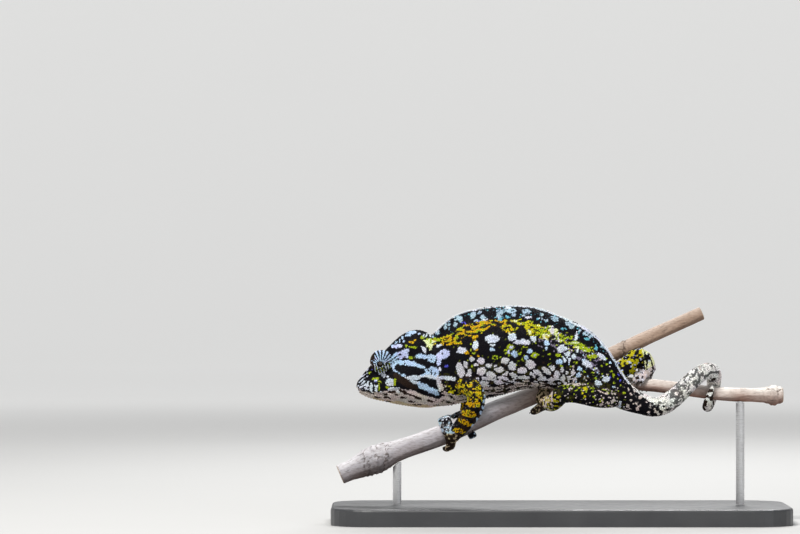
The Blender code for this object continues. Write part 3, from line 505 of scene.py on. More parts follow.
# Marks as colour, then (right, down, half length, half width, turn in degrees) for each.
HEAD_MARKS = [
    ("lilac", (397, 346, 6, 1.9, -5), (405, 351.5, 4.4, 2.6, -30), (403, 355.5, 5.2, 1.7, -35),
     (398, 353, 5, 1.1, -40), (407, 355.5, 2, 2.4), (443, 354, 7.5, 4.6, -12),
     (439, 361, 2.2, 3.6, 20)),
    ("blue", (393.5, 355.5, 6, 1.1, -42), (394.5, 359.5, 6, 1.2, -38), (406, 362.3, 11, 2.8, 4),
     (392, 365, 8, 1.7, -25), (384, 368.5, 3, 1.2, -20), (419, 365.5, 6.5, 1.9, 12),
     (421.5, 356, 6.4, 2.4, 4), (431.5, 358, 4.4, 4.2, 10), (397, 371, 7, 1.9, 48),
     (404, 376, 4, 1.7, 10), (425, 372.5, 5.5, 3.4, -40), (433, 371.5, 6.4, 5.4, 10)),
    ("white", (413, 377.6, 12, 2.2, -3), (414, 381.9, 9, 1.6, 14), (447, 377.8, 9, 2.3, 4),
     (431, 376.5, 7, 1.9, 12)),
    ("blue", (424, 386, 7.5, 3.6, 22), (432, 390.5, 7, 3.6, 32)),
    ("shell", (438.5, 383, 2.2, 8, -12),),
    ("rose", (443, 389, 1.3, 7, -28), (449, 391, 1.2, 8, -40), (455, 395, 1.3, 7, -30)),
    ("black", (410, 369.5, 16, 3.9, 7), (406, 367, 8, 1.6), (404, 359.2, 4, 0.8, 5),
     (428.3, 369, 0.8, 2.6), (429, 381, 8, 2.4, -6), (432, 384.5, 5, 2.6, 8),
     (428, 363, 10, 2.0, 12), (448, 366.5, 9.5, 6.3), (412, 359.5, 3, 0.8), (426, 358.7, 2.2, 0.7),
     (430, 394.5, 7, 1.6, 14)),
    ("brown", (404, 381, 13, 3.7, 33), (399, 377, 7, 3.2, 60), (413, 386.5, 5, 2, 20)),
    ("white", (371.2, 387.5, 1.3, 5), (376, 386.5, 1.9, 5), (390.4, 381.8, 4.6, 3.8, -5),
     (393, 388, 6, 1.7, -8), (375, 381, 2.2, 1.3), (384, 374.5, 2.2, 2.2, 30),
     (380, 373, 1.2, 1.2), (388, 376, 1.6, 1.3), (440, 369, 1.3, 1.8), (366.5, 386, 1.1, 4, 15)),
    ("black", (373.4, 385, 0.9, 8), (382.3, 384, 1.5, 7), (368.8, 385, 0.9, 6, 10),
     (379, 376, 4, 0.8), (386.5, 388.5, 1.6, 1.0)),
    ("lime", (379, 387, 1.1, 4), (394.8, 381.5, 1.1, 3.4, 10), (376.5, 378.4, 5, 0.8, -5),
     (379, 381, 3, 0.8), (387, 386.6, 2.4, 0.8), (370, 372.5, 1.5, 1), (378, 371, 2, 0.8),
     (406, 345.2, 1.5, 1.1), (412.5, 346.7, 4, 0.9), (411.5, 357, 3.2, 1.1),
     (422.5, 337.5, 2.4, 1.4, -10), (437, 339.5, 4, 1.3, 20)),
    ("amber", (410.5, 342, 1.9, 1.0, -5), (415, 340.3, 1.7, 1.1), (413, 342.8, 1.3, 0.8)),
    ("blue", (411.5, 332.6, 5.2, 1.3, -6), (408, 335.5, 3, 1.2, -10), (402.5, 337.5, 1.2, 1.6),
     (399, 341, 1, 1.6), (404, 341, 1.2, 0.8), (419, 333.5, 1.4, 1), (396, 342.5, 1.2, 1.2),
     (392, 345.5, 1.2, 1.2)),
    ("white", (424.4, 349.6, 2.9, 2.0, 50), (421.6, 347, 1.6, 1.1, 20), (427, 334.5, 3, 0.8, -60),
     (424, 335.5, 2, 0.6, -70), (430.5, 336, 2, 0.7, 60), (438.7, 345.4, 3.2, 1.3, -15)),
    ("cream", (429.3, 344, 3.6, 6), (433, 341.5, 3, 1.3, 10), (425, 341, 2.4, 1.2, 30)),
    ("lime", (430.5, 341, 1.4, 3, 10), (428, 347.5, 1.2, 2, -10), (426.5, 339, 1.4, 1.1)),
    ("violet", (446, 366, 1.5, 1.5), (415.7, 336.8, 0.9, 0.8), (372.6, 369.6, 1.1, 0.9),
     (375.5, 382, 0.8, 0.8)),
]
# The pale underside of the jaw has short dark dashes lengthwise.
CHIN_DASHES = [(403, 391, 4, 1.2, 20), (392, 391.5, 4.5, 1.2), (386, 394.5, 1.6, 1.4),
    (387, 397.5, 4, 0.9, 5), (403, 397, 4, 1, 8), (416, 396.5, 6.5, 1.4, 24),
    (424, 391.5, 5, 1.6, 15), (433, 395.5, 7, 1.5, 10), (412, 401, 5, 0.8, 8),
    (431, 401, 5, 1, 14), (378, 397, 4, 0.8, 10), (372, 393, 3, 0.8, 20), (388, 401, 4, 0.7, 5),
    (415, 404.5, 5, 0.6, 3), (436, 405, 4, 0.6), (443, 397, 2, 5), (397, 394, 3, 0.8, 10),
    (409, 393.5, 3, 0.9, 15)]
BACK_MARKS = [
    ("ice", (437, 332, 3, 2.6), (433, 336.5, 1.6, 1), (445.6, 325.5, 1.3, 4.4),
     (448.8, 325.5, 1.1, 5), (457.5, 318, 3.6, 2.4, -20), (455.5, 324, 2, 2.8), (461, 320, 1.2, 3),
     (473, 315, 2.8, 3.4), (479, 312.5, 2.4, 1.8), (483, 317.5, 2.4, 2.6, 40),
     (476, 321, 2.6, 1.2), (499, 313.5, 3, 5.4), (504, 310, 2.4, 1.6),
     (510.5, 310.5, 5.2, 2.6, -4), (513.5, 315, 2.2, 1.6), (526, 311.5, 4.6, 2.6),
     (523, 316, 2, 2), (541, 314.5, 2.4, 1.5), (540, 318.6, 2.6, 1.6), (546, 320, 2, 1.4),
     (554, 318.5, 4.4, 2.2, 20), (568, 323.5, 4.4, 2.4, 20), (571, 327, 3, 1.6),
     (585, 333, 3.4, 2.2), (589.5, 336, 2, 2, 30), (579, 330, 1.2, 2), (601.5, 345, 3, 3)),
    ("white", (527, 317.4, 4.4, 1.1), (485, 319.5, 2.2, 1.0), (575, 335.5, 1.6, 5, 8),
     (508, 307.6, 4, 0.8)),
    ("cyan", (563, 328.5, 3, 1.2), (586, 338.4, 3, 1.1), (594.5, 347.5, 1.6, 1.6),
     (506, 316.4, 4, 1.1), (482, 321.3, 4, 0.9), (500, 319, 2.4, 1)),
    ("violet", (464, 323, 2.2, 0.8), (478, 321.6, 1.4, 0.8)),
]
EYE_SPOTS = [("black", (466.5, 340.5, 6, 4.6), (494.5, 329.5, 7, 4.2, 6), (520.5, 332.5, 5.6, 5.2),
    (552, 336, 2.4, 2))]
FLANK_MARKS = [
    ("white", (491.8, 338.3, 7.2, 3.9), (492, 344.3, 2.4, 1.6), (511.5, 337, 4, 4.2, 40),
     (523, 341.6, 11, 2.5, 2), (532, 340, 3.6, 4.2), (474.8, 344.5, 2.8, 4.4, 24),
     (461.5, 350, 4.8, 3.4, 10), (561, 348.5, 5, 3.6), (565.5, 353.5, 3, 3.4),
     (563, 358, 1.2, 3.4), (567.5, 359, 1.1, 3), (572.5, 355.5, 2.4, 2.4),
     (586.5, 364, 7.2, 2.9, 38), (591, 368, 4, 1.6, 10), (600, 356, 5.4, 2.6, 32),
     (603.5, 378.5, 4.4, 2.8, -24), (597, 382, 4, 2.4), (576.5, 350, 1, 1.6)),
    ("blue", (491.5, 349, 2.4, 1.3), (545.5, 342, 3, 2.8), (558, 361.5, 3.2, 2.8),
     (514, 353.5, 3.4, 3.2), (525.5, 357, 2.2, 2), (528.8, 350.3, 2.6, 2), (578, 368, 2.2, 2.2),
     (577, 374, 1.8, 2.4), (546, 348, 1, 1.4)),
    ("shell", (480.5, 360, 3.8, 3.4), (471.6, 358.6, 2.6, 2.6), (475.5, 364.4, 1.8, 1.2),
     (465, 364, 2, 3.4, -15), (460, 369.5, 3.8, 7.6, -8), (468, 374.5, 2.8, 6, 20),
     (475, 380.5, 4, 3), (488.4, 365, 3.2, 2.2), (495, 365.4, 2.2, 1.8),
     (481.5, 371, 5.4, 4.2, 30), (489.5, 374.5, 6, 3.4, 12), (484, 377.5, 3, 1.6),
     (499, 369, 5, 3, 10), (504.8, 360.4, 4.2, 3.4), (511.4, 365.4, 4, 4.4),
     (521.5, 369.6, 4.6, 3.6, -10), (505.5, 373, 2.8, 2.2), (501, 377, 6.2, 1.8),
     (529.5, 363.8, 5, 4.4, 40), (545, 370, 5.4, 2.6, 35), (537, 372.5, 5, 2.6, 40),
     (532, 374, 3, 1.4, 30), (551, 367, 3, 2.7), (556, 373.5, 3, 4), (561, 369, 1.8, 3),
     (566, 372.5, 1.8, 2.2), (567, 377, 2.2, 2.4), (572, 372, 1.8, 3), (573, 378, 2, 2),
     (562.5, 378, 2.4, 4), (513, 375, 5, 2, 25), (483, 383, 4, 3), (476, 387, 3, 2),
     (497, 382, 4, 1.8, 15), (520, 377, 4, 1.6, 10), (541, 377.5, 4, 1.5, 20), (550, 379, 3, 1.6)),
]
SIDE_SPECKS = [
    ("lime", (510, 347, 4, 3), (524, 346.6, 3.4, 0.9), (533.6, 354.8, 3, 2.6), (557, 354, 2, 1.6),
     (590, 356, 5.2, 1.4), (587.5, 349, 2, 1.1), (581, 348.3, 2, 1), (600.5, 364.8, 1.1, 1.1),
     (605.5, 363.5, 1.4, 1.2), (593.5, 377.2, 2.4, 1.1), (494.5, 357, 2.6, 2), (505, 351, 1.2, 3),
     (522, 360, 1, 0.9), (472, 366, 0.9, 0.9), (519, 353, 1.6, 1.6), (560, 365.5, 1.5, 1),
     (474, 352.5, 1.6, 1), (508, 354, 1.2, 1.4), (548, 354, 1.4, 1), (583, 371, 1.6, 1)),
    ("amber", (467, 352.5, 2.2, 1.4), (471, 355.5, 1.4, 1), (478, 355, 1.2, 0.8),
     (476, 349.5, 1.2, 0.9)),
    ("black", (494.5, 357, 1.4, 0.9), (505.3, 351, 0.5, 1.6)),
    ("lilac", (510.5, 347, 1.8, 1.2), (533.5, 354.8, 1.3, 1.2), (508, 351.5, 1.6, 1.4)),
]
RUMP_SPECKS = [
    ("lime", (609.5, 370.5, 1.4, 0.9), (611.5, 375, 1, 2.4), (613, 381.5, 1.4, 0.9),
     (622, 392, 1.2, 1), (626.5, 397.5, 0.9, 1), (616.5, 378, 0.8, 0.8)),
    ("violet", (617, 374, 1.2, 1.2), (618.5, 380, 1, 1), (609, 376, 0.8, 0.8)),
    ("white", (601, 375, 1, 1), (613, 386, 0.9, 1.2), (604, 398, 5, 1.6, 40),
     (614, 396.5, 2, 3, -30), (618, 403, 2, 3), (640, 408.5, 1.8, 1.4), (651, 411, 2.4, 1.6),
     (608, 402, 1.2, 1.2)),
]
# The yellow stripe along the side: pixel column, middle row and half width.
STRIPE = [(428, 342, 2.2), (440, 341.5, 3.6), (452, 339, 6), (463, 334, 9.5), (475, 330.5, 9.5),
    (486, 325, 4.6), (497, 323.5, 3.6), (508, 326.5, 7), (520, 327, 7.5), (535, 328, 7.5),
    (550, 333, 7.5), (565, 337.5, 6.5), (580, 345, 4.6), (592, 353, 3), (600, 357, 0)]
ARM_MARKS = [
    ("amber", (461, 386, 7, 3.4, -15), (461, 391, 5, 2, -20), (468, 393, 5, 3.6, 30),
     (476, 388, 4, 2, -10), (473, 403, 7.5, 3.2, 5), (477, 397, 3, 6), (468, 412.5, 8, 3.2, 8),
     (465, 421.5, 8, 2.7, 25), (459, 430, 6.5, 2.4, 15)),
    ("blue", (483, 389, 1.2, 2), (484, 395, 1.2, 2), (483, 400, 1.2, 2), (482, 406, 1.3, 2),
     (480, 412, 1.4, 2), (477, 419, 1.6, 2.6), (473, 426, 2, 3), (440, 421, 3, 7, -20),
     (446, 427, 2.5, 5, -20)),
    ("dusk", (459.5, 404, 2.2, 7, 12)),
]
SHADES = np.array([INK[name] for name in INK])
SHADE = {name: number for number, name in enumerate(INK)}


def oval_reach(right, down, oval):
    """Distance from the middle of an oval mark, as a share of the way to its rim, and its size."""
    middle_right, middle_down, long, wide, turn = (*oval, 0)[:5]
    turn = math.radians(turn)
    away_right, away_down = right - middle_right, down - middle_down
    ahead = away_right * math.cos(turn) + away_down * math.sin(turn)
    aside = away_down * math.cos(turn) - away_right * math.sin(turn)
    return np.sqrt((ahead / long) ** 2 + (aside / wide) ** 2), (long * wide) ** 0.5


def dab(shades, right, down, marks, where):
    """Puts each mark's colour on the places that it covers."""
    for name, *ovals in marks:
        for oval in ovals:
            shades[(oval_reach(right, down, oval)[0] < 1) & where] = SHADE[name]


def net(shades, right, down, marks, where, grow, apart):
    """As dab, but neighbouring marks stay apart by a dark line of this width."""
    best = np.full(len(right), 99.0)
    second = np.full(len(right), 99.0)
    inks = np.full(len(right), SHADE["black"])
    for name, *ovals in marks:
        for oval in ovals:
            reach, size = oval_reach(right, down, oval)
            off = (reach - 1) * size
            nearer = off < best
            second = np.where(nearer, best, np.minimum(second, off))
            inks[nearer] = SHADE[name]
            best = np.where(nearer, off, best)
    covered = where & (best < grow) & (second - best > apart)
    shades[covered] = inks[covered]


def marked(places, normals, parts):
    """The number of the colour at each place on the animal."""

    def noise(size, seed):
        return soft_noise(places, size, seed)

    def on(*nodes):
        return on_part(parts, *nodes)

    def inked_in(ink):
        return shades == SHADE[ink]

    def put(where, ink, *others):
        """Lays an ink on the places, and each other ink where its test holds there."""
        shades[where] = SHADE[ink]
        for test, other in others:
            shades[where & test] = SHADE[other]

    x, y, z = places.T
    left = y < mid_y(places)
    far = unit((y - mid_y(places)) / 3.0) * ~left
    right = ORIGIN_RIGHT + x / PIXEL + far * (3.5 + 4.0 * noise(8, 31))
    down = ORIGIN_DOWN - z / PIXEL + far * (1.0 + 3.0 * noise(7, 32))
    right = right + 0.7 * noise(1.1, 33) + 0.5 * noise(0.5, 34)
    down = down + 0.7 * noise(1.1, 35) + 0.5 * noise(0.5, 36)
    shades = np.full(len(places), SHADE["black"])
    grains = noise(0.8, 37)
    blots = noise(1.5, 38)
    along = np.column_stack([x * 0.28, y, z])
    upright = np.column_stack([x, y, z * 0.35])
    streaks = soft_noise(along, 0.75, 39) + 0.5 * grains
    bars = soft_noise(upright, 0.62, 60)
    head = on("head", "lower_jaw", "neck")
    torso = on("torso", "neck")

    dab(shades, right, down, BACK_MARKS, torso)
    put(inked_in("ice") & (noise(0.9, 74) > 0.42), "mist")
    put(torso & (down < 345) & (bars + 0.35 * grains > 0.52), "black")
    stripe = np.array(STRIPE, float)
    middle = np.interp(right, stripe[:, 0], stripe[:, 1])
    half = np.interp(right, stripe[:, 0], stripe[:, 2])
    deep = np.abs(down - middle) / np.maximum(half, 0.1)
    gold = ((deep < 1) & (torso | head) & (right > 431)
        & (streaks + 0.2 * blots > -0.28 + 0.42 * deep**2))
    greener = unit((right - 486) / 75) + 0.55 * soft_noise(along, 1.1, 61)
    put(gold, "lime", (greener < 0.66, "yellow"), (greener < 0.22, "amber"))
    fading = unit(1 - np.abs(right - 551) / 17)
    put(gold & (soft_noise(along, 0.5, 65) > 0.38), "lime")
    put(gold & (soft_noise(along, 0.5, 75) > 0.42), "yellow")
    put(gold & (right > 520) & (noise(0.5, 81) > 0.40), "olive")
    put(gold & (np.abs(soft_noise(along, 0.6, 64)) < 0.12), "olive")
    put(gold & (streaks + 0.5 * fading > 0.62) & (right > 500), "cream")
    put(gold & (bars + 0.9 * fading > 1.0), "shell")
    dab(shades, right, down, EYE_SPOTS, torso)
    net(shades, right, down, FLANK_MARKS, torso, 0.1, 1.45)
    dab(shades, right, down, SIDE_SPECKS, torso)
    belly = np.interp(right, [430, 476, 519, 551, 581, 612, 637],
        [390, 378, 374, 375, 384, 400, 410])
    low = unit((down - belly) / 4.0)
    mesh_lines = np.abs(soft_noise(along, 0.8, 62) + 0.3 * grains)
    pale = (torso & (mesh_lines > 0.33 + 0.40 * (1 - low)) & (low > 0) & (right > 470)
        & inked_in("black"))
    put(pale, "rose", (down - belly < 8 + 4 * blots, "shell"))
    sprinkled = torso & (right > 566) & (down > 345) & inked_in("black") & (noise(0.55, 40) > 0.62)
    put(sprinkled, "rose", (blots < -0.3, "blue"), (blots > 0.3, "lime"))
    veil = (torso & inked_in("black") & (right > 537) & (right < 597) & (down > middle - 3)
        & (down < middle + 17))
    put(veil & (noise(0.46, 79) > 0.30 + 0.25 * blots), "dusk")
    browned = torso & inked_in("black") & (down > belly - 14) & (noise(0.9, 80) > 0.1)
    put(browned, "olive", (blots > 0, "brown"))
    dusting = torso & inked_in("black") & (noise(0.5, 73) > 0.66)
    put(dusting & (down < middle - half), "cyan")
    put(dusting & (down > middle + half) & (down < belly - 4) & (blots > -0.1), "lime")
    dab(shades, right, down, RUMP_SPECKS, torso | on("tail_base"))

    dab(shades, right, down, HEAD_MARKS, head)
    put(head & (down < 392) & (bars > 0.66), "black")
    snout = head & (right < 369) & (down < 390)
    dashes = np.sin((0.82 * z - 0.57 * x + 0.12 * blots) * 2 * np.pi / 0.92)
    put(snout & (dashes + 1.5 * noise(0.6, 77) > 0.60), "white")
    put(head & (right < 361) & (down > 386) & (blots + grains > 0.1), "rose")
    jaw_edge = [390, 392, 391, 389, 388, 391, 395.5, 398.5, 399]
    jaw_edge = np.interp(right, [355, 372, 382, 392, 400, 416, 424, 437, 446], jaw_edge)
    throat = head & (right < 446) & (down > jaw_edge)
    put(throat & ~inked_in("blue"), "rose")
    put(throat & (right < 400) & (down < 391 + 2 * blots), "shell")
    low_edge = np.interp(right, [355, 380, 410, 446], [392, 398.5, 404, 407])
    put(throat & (down + 2.5 * blots > low_edge), "tan")
    dab(shades, right, down, [("brown", *CHIN_DASHES)], throat)
    put(throat & inked_in("rose") & (streaks > 0.72), "brown")
    put(on("neck", "torso") & (right < 470) & (down > 392) & (streaks > -0.3), "rose")
    shoulder = on("neck", "torso") & left & (oval_reach(right, down, (454, 389, 9, 5.5, 25))[0] < 1)
    put(shoulder, "black", (noise(0.6, 66) > 0.25, "yellow"))

    for side in EYES:
        height, aside = about_eye(places, side)
        lid = on("eyelid_" + side)
        away = places - np.array(EYES[side][0])
        angle = np.arctan2(away[:, 2] + 1.0, -away[:, 0])
        lid |= on("head") & (aside < 5.3) & (height > 0) & (away[:, 2] > 1.5) & (away[:, 0] < 3.5)
        rays = np.sin(angle * 22 + 0.9 * noise(2.5, 41))
        put(lid, "black", (rays + 0.3 * grains > 0.0, "blue"))
        put(lid & (rays + 0.3 * grains > 0) & (blots > 0.35), "lilac")
        under = lid & (away[:, 2] < -0.7 + 0.5 * blots)
        posts = np.sin((x + 0.2 * z) * 2 * np.pi / 0.95 + noise(1.5, 48))
        put(under, "black", (posts + 1.1 * grains > 0.45, "white"))
        put(under & (posts + grains < -0.9), "lime")
        put(lid & (away[:, 0] < -2.2 + 0.4 * blots) & (grains < 0.45), "brown")
        put(lid & (aside < 1.1), "black")

    width = np.interp(right, [436, 500, 555, 585, 612, 640], [0.5, 0.6, 0.9, 1.4, 1.8, 1.8])
    off_top = np.abs(y - mid_y(places))
    ridge = (torso & (normals[:, 2] > -0.2) & (off_top < width + 0.3 * blots) & (down < 400)
        & (right > 436))
    ridge &= (z > 60) | (x > 10)
    put(ridge & (bars < 0.55), "white")

    front = on("upper_arm_left", "forearm_left", "upper_arm_right", "forearm_right")
    put(front, "brown")
    dab(shades, right, down, [ARM_MARKS[0]], front & left)
    put(front & (down < 404) & (streaks + 0.6 * blots > 0.25), "amber")
    put(front & ~left & (blots > 0.15), "amber")
    webbed = front & inked_in("amber")
    threads = noise(0.62, 49)
    put(webbed & (grains > np.where(down < 401, -0.15, 0.25)), "yellow")
    put(webbed & (np.abs(threads) < np.where(down < 401, 0.30, 0.20)), "black")
    put(front & inked_in("brown") & (blots < 0.2), "black")
    put(front & inked_in("black") & (noise(0.55, 42) > 0.6), "grey")
    dab(shades, right, down, ARM_MARKS[1:], front & left)
    back = on("thigh_left", "shank_left")
    put(back, "olive", (blots < 0.35, "black"))
    peppered = noise(0.55, 43)
    put(back & (peppered > 0.36 + 0.30 * unit((down - 386) / 7)), "lime")
    put(back & (noise(0.6, 44) > 0.60 - 0.35 * unit((right - 588) / 20)), "rose")
    knee = [("yellow", (583, 387.5, 2.6, 1.6), (581, 392, 1.2, 1.4), (583, 395, 1.2, 1))]
    dab(shades, right, down, knee, back)
    put(back & (right < 560) & (down > 394) & (soft_noise(along, 0.6, 67) > 0.25), "yellow")
    put(back & (right < 552) & (noise(0.6, 50) > 0.05), "rose")
    put(back & (down < 383.8 + 0.6 * blots) & (grains > -0.4), "rose")
    rear = on("thigh_right", "shank_right")
    put(rear, "black", (noise(0.9, 68) + 0.3 * blots > 0.20, "yellow"))
    put(rear & (threads > 0.55), "lilac")
    shin = rear & (right > 643 + 0.22 * (down - 350))
    put(shin, "cream", (soft_noise(upright, 0.7, 69) > 0.35, "white"))
    put(shin & (soft_noise(upright, 0.6, 76) + 0.4 * grains > 0.20), "black")
    feet = {
        "forefoot_left": ("ice", "grey", "black"), "forefoot_right": ("grey", "blue", "black"),
        "hindfoot_left": ("tan", "olive", "brown"), "hindfoot_right": ("rose", "shell", "brown"),
    }
    mottle = noise(0.75, 70) + 0.3 * threads
    for foot, (pale_ink, middle_ink, dark_ink) in feet.items():
        put(on(foot), dark_ink, (mottle > -0.1, middle_ink), (mottle > 0.18, pale_ink))
    put(on("forefoot_left") & (noise(0.55, 82) > 0.42), "white")
    low_toes = on("forefoot_left") & (down > 433)
    put(low_toes, "brown", (mottle > 0.1, "olive"), (mottle > 0.3, "tan"))

    tail = on(*TRUNK[4:])
    run = along_line(places, TAIL)[0]
    rear_edge = np.interp(right, [612, 618, 632, 650, 664], [352, 365, 386, 398, 400])
    patches = noise(2.3, 45) + 0.55 * noise(1.0, 46)
    fine = noise(0.8, 47)
    rosettes = noise(1.05, 71) + 0.45 * noise(0.5, 72)
    sparse = np.interp(run, [0, 8, 13, 18, 26, 31, 40, 60],
        [0.34, 0.18, 0.00, -0.10, -0.08, -0.34, -0.50, -0.36])
    sparse = sparse - 0.9 * unit((rear_edge + 4.5 + 0.2 * run - down) / 3) * unit((13.5 - run) / 3)
    put(tail, "grey", (run + 3 * blots < 13, "black"), (rosettes > sparse, "ivory"))
    put(tail & (rosettes > sparse) & ((rosettes < sparse + 0.10) | (run < 7 + 2 * blots))
        & (down > rear_edge + 4), "rose")
    put(tail & (run > 24) & (run < 46) & (patches > 0.62), "rose")
    put(tail & inked_in("ivory") & (np.abs(noise(0.75, 78)) < 0.09), "silver")
    tip = tail & (run > 48)
    put(tip, "brown", (rosettes > 0.16, "ivory"))
    put(tail & (run < 22) & (fine < -0.42) & (down < rear_edge + 9), "grey")
    return shades


def inked(places, normals, parts):
    """Linear colours with the slight unevenness of paint laid on by hand."""
    colours = SHADES[marked(places, normals, parts)]
    drift = 1.0 + 0.13 * soft_noise(places, 2.6, 51) + 0.12 * soft_noise(places, 0.6, 52)
    tone = np.stack([1 + 0.06 * soft_noise(places, 2.2, 53 + i) for i in range(3)], axis=1)
    return np.clip(colours * drift[:, None] * tone, 0.002, 0.92)


hide, tree, shader = new_material("cast_skin", {"Specular IOR Level": 0.08})
marks_and_painted_light = add_node(tree, "Attribute", attribute_name="marks_and_painted_light")
tree.links.new(marks_and_painted_light.outputs["Color"], shader.inputs["Base Color"])
varied(tree, object_noise(tree, 1600.0, 3.0), shader.inputs["Roughness"], 0.50, 0.62)
bumped(tree, shader, object_noise(tree, 3200.0, 3.0), 0.00008)
skin.data.materials.append(hide)
places = mesh_places(skin.data)
normals = mesh_normals(skin.data)
parts = label_parts(places)
# Painted shade: the skin is painted at 0.56 of the marks' colour, so the gaps between the scales
# read darker.
set_colours(skin.data, "marks_and_painted_light", inked(places, normals, parts) * 0.56)
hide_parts(*FLESH)
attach(skin, "root")

# Over the skin lie small domed scales, each modelled apart and packed close, as granular lizard
# skin is. They are larger on the flanks than on lids, feet and tail tip, and a row of larger ones
# stands on the lips.
SCALE_HEIGHT = 0.13
SCALE_SINK = 0.08
SCALE_SIDES = 6
SPACING = {"head": 0.42, "lower_jaw": 0.42, "neck": 0.44, "torso": 0.47, "eyelid": 0.31,
    "tail_base": 0.45, "tail_middle": 0.43, "tail_bend": 0.41, "tail_wrap": 0.38, "tail_tip": 0.34,
    "upper_arm": 0.40, "forearm": 0.38, "thigh": 0.42, "shank": 0.39, "forefoot": 0.35,
    "hindfoot": 0.35}
COATS = {
    "scales_head": ("head", "lower_jaw", "eyelid_left", "eyelid_right"),
    "scales_neck": ("neck",),
    "scales_torso_front_left": ("torso",),
    "scales_torso_front_right": ("torso",),
    "scales_torso_rear_left": ("torso",),
    "scales_torso_rear_right": ("torso",),
    "scales_front_legs": ("upper_arm_left", "upper_arm_right", "forearm_left", "forearm_right",
        "forefoot_left", "forefoot_right"),
    "scales_hind_legs": ("thigh_left", "thigh_right", "shank_left", "shank_right", "hindfoot_left",
        "hindfoot_right"),
    "scales_tail": ("tail_base", "tail_middle", "tail_bend", "tail_wrap", "tail_tip"),
}
draw = np.random.default_rng(7)


def tree_of(spots):
    """A tree that finds the spots near a place."""
    tree = KDTree(len(spots))
    for number, spot in enumerate(spots):
        tree.insert(spot, number)
    tree.balance()
    return tree


def spread_over(mesh, parts, spacing, rank_of):
    """Scale roots packed over a mesh: place, normal, part, spacing kept and row."""
    mesh.calc_loop_triangles()
    corners = np.empty(len(mesh.loop_triangles) * 3, np.int32)
    mesh.loop_triangles.foreach_get("vertices", corners)
    corners = corners.reshape(-1, 3)
    places, normals = mesh_places(mesh), mesh_normals(mesh)
    a, b, c = (places[corners[:, i]] for i in range(3))
    area = np.linalg.norm(np.cross(b - a, c - a), axis=1) / 2
    room = spacing[corners].mean(axis=1)
    weight = area / room**2
    picked = draw.choice(len(corners), size=int(weight.sum() * 9), p=weight / weight.sum())
    share = draw.random((len(picked), 2))
    share = np.where(share.sum(axis=1, keepdims=True) > 1, 1 - share, share)
    share = np.column_stack([1 - share.sum(axis=1), share])[:, :, None]
    spots = (places[corners[picked]] * share).sum(axis=1)
    ways = (normals[corners[picked]] * share).sum(axis=1)
    ways /= np.linalg.norm(ways, axis=1)[:, None]
    owner = parts[corners[picked, 0]]
    room = room[picked]
    rows, room = rank_of(spots, ways, owner, room)
    tree = tree_of(spots)
    free = np.ones(len(spots), bool)
    kept = []
    for number in np.argsort(draw.random(len(spots)) - 2 * rows):
        if free[number]:
            kept.append(number)
            taken = [found[1] for found in tree.find_range(spots[number], room[number])]
            free[taken] = False
    kept = np.array(kept)
    return spots[kept], ways[kept], owner[kept], room[kept], rows[kept]


def scale_rows(spots, ways, owner, room):
    """Rows that scales stand in: 1 on lips and lids, 2 along the back's edge, 3 on the throat."""
    rows = np.zeros(len(spots), int)
    off = off_lips(spots)[2]
    lip = on_part(owner, "head", "lower_jaw") & (np.abs(off - 0.42) < 0.07)
    room = np.where(on_part(owner, "head", "lower_jaw") & (off < 0.85), 0.62, room)
    rows[lip] = 1
    for side in EYES:
        _, aside = about_eye(spots, side)
        ring = on_part(owner, "eyelid_" + side) & (np.abs((aside - 1.25) % 0.36 - 0.18) > 0.15)
        rows[ring] = 1
    middle = np.abs(spots[:, 1] - mid_y(spots))
    back = on_part(owner, "torso", "neck") & (ways[:, 2] > 0.45) & (middle < 0.10)
    throat = (on_part(owner, "torso", "neck", "lower_jaw") & (ways[:, 2] < -0.6) & (middle < 0.10)
        & (spots[:, 0] < -16))
    rows[back] = 2
    rows[throat] = 3
    room = np.where(back, 0.62, np.where(throat, 0.8, room))
    return rows, room


def scale_shapes(spots, ways, room):
    """Outline of each scale as six reaches in its own plane, half way to its neighbours."""
    ahead = np.cross(ways, np.array((0.12, 1.0, 0.08)))
    ahead /= np.linalg.norm(ahead, axis=1)[:, None]
    across = np.cross(ways, ahead)
    tree = tree_of(spots)
    around = np.array([[found[1] for found in tree.find_n(spot, 10)][1:] for spot in spots])
    away = spots[around] - spots[:, None, :]
    flat = [(away * axis[:, None, :]).sum(axis=2) for axis in (ahead, across)]
    flat = np.stack(flat, axis=2)
    corner = np.arange(SCALE_SIDES) * 2 * np.pi / SCALE_SIDES
    turn = draw.random(len(spots))[:, None] * np.pi / 3 + corner
    ways_out = np.stack([np.cos(turn), np.sin(turn)], axis=2)
    lean = (flat[:, :, None, :] * ways_out[:, None, :, :]).sum(axis=3)
    half = (flat**2).sum(axis=2)[:, :, None] / (2 * np.maximum(lean, 0.02))
    reach = np.clip(half.min(axis=1), 0.22 * room[:, None], 0.68 * room[:, None])
    out = ways_out[:, :, :1] * ahead[:, None, :] + ways_out[:, :, 1:] * across[:, None, :]
    return out, ways_out, reach


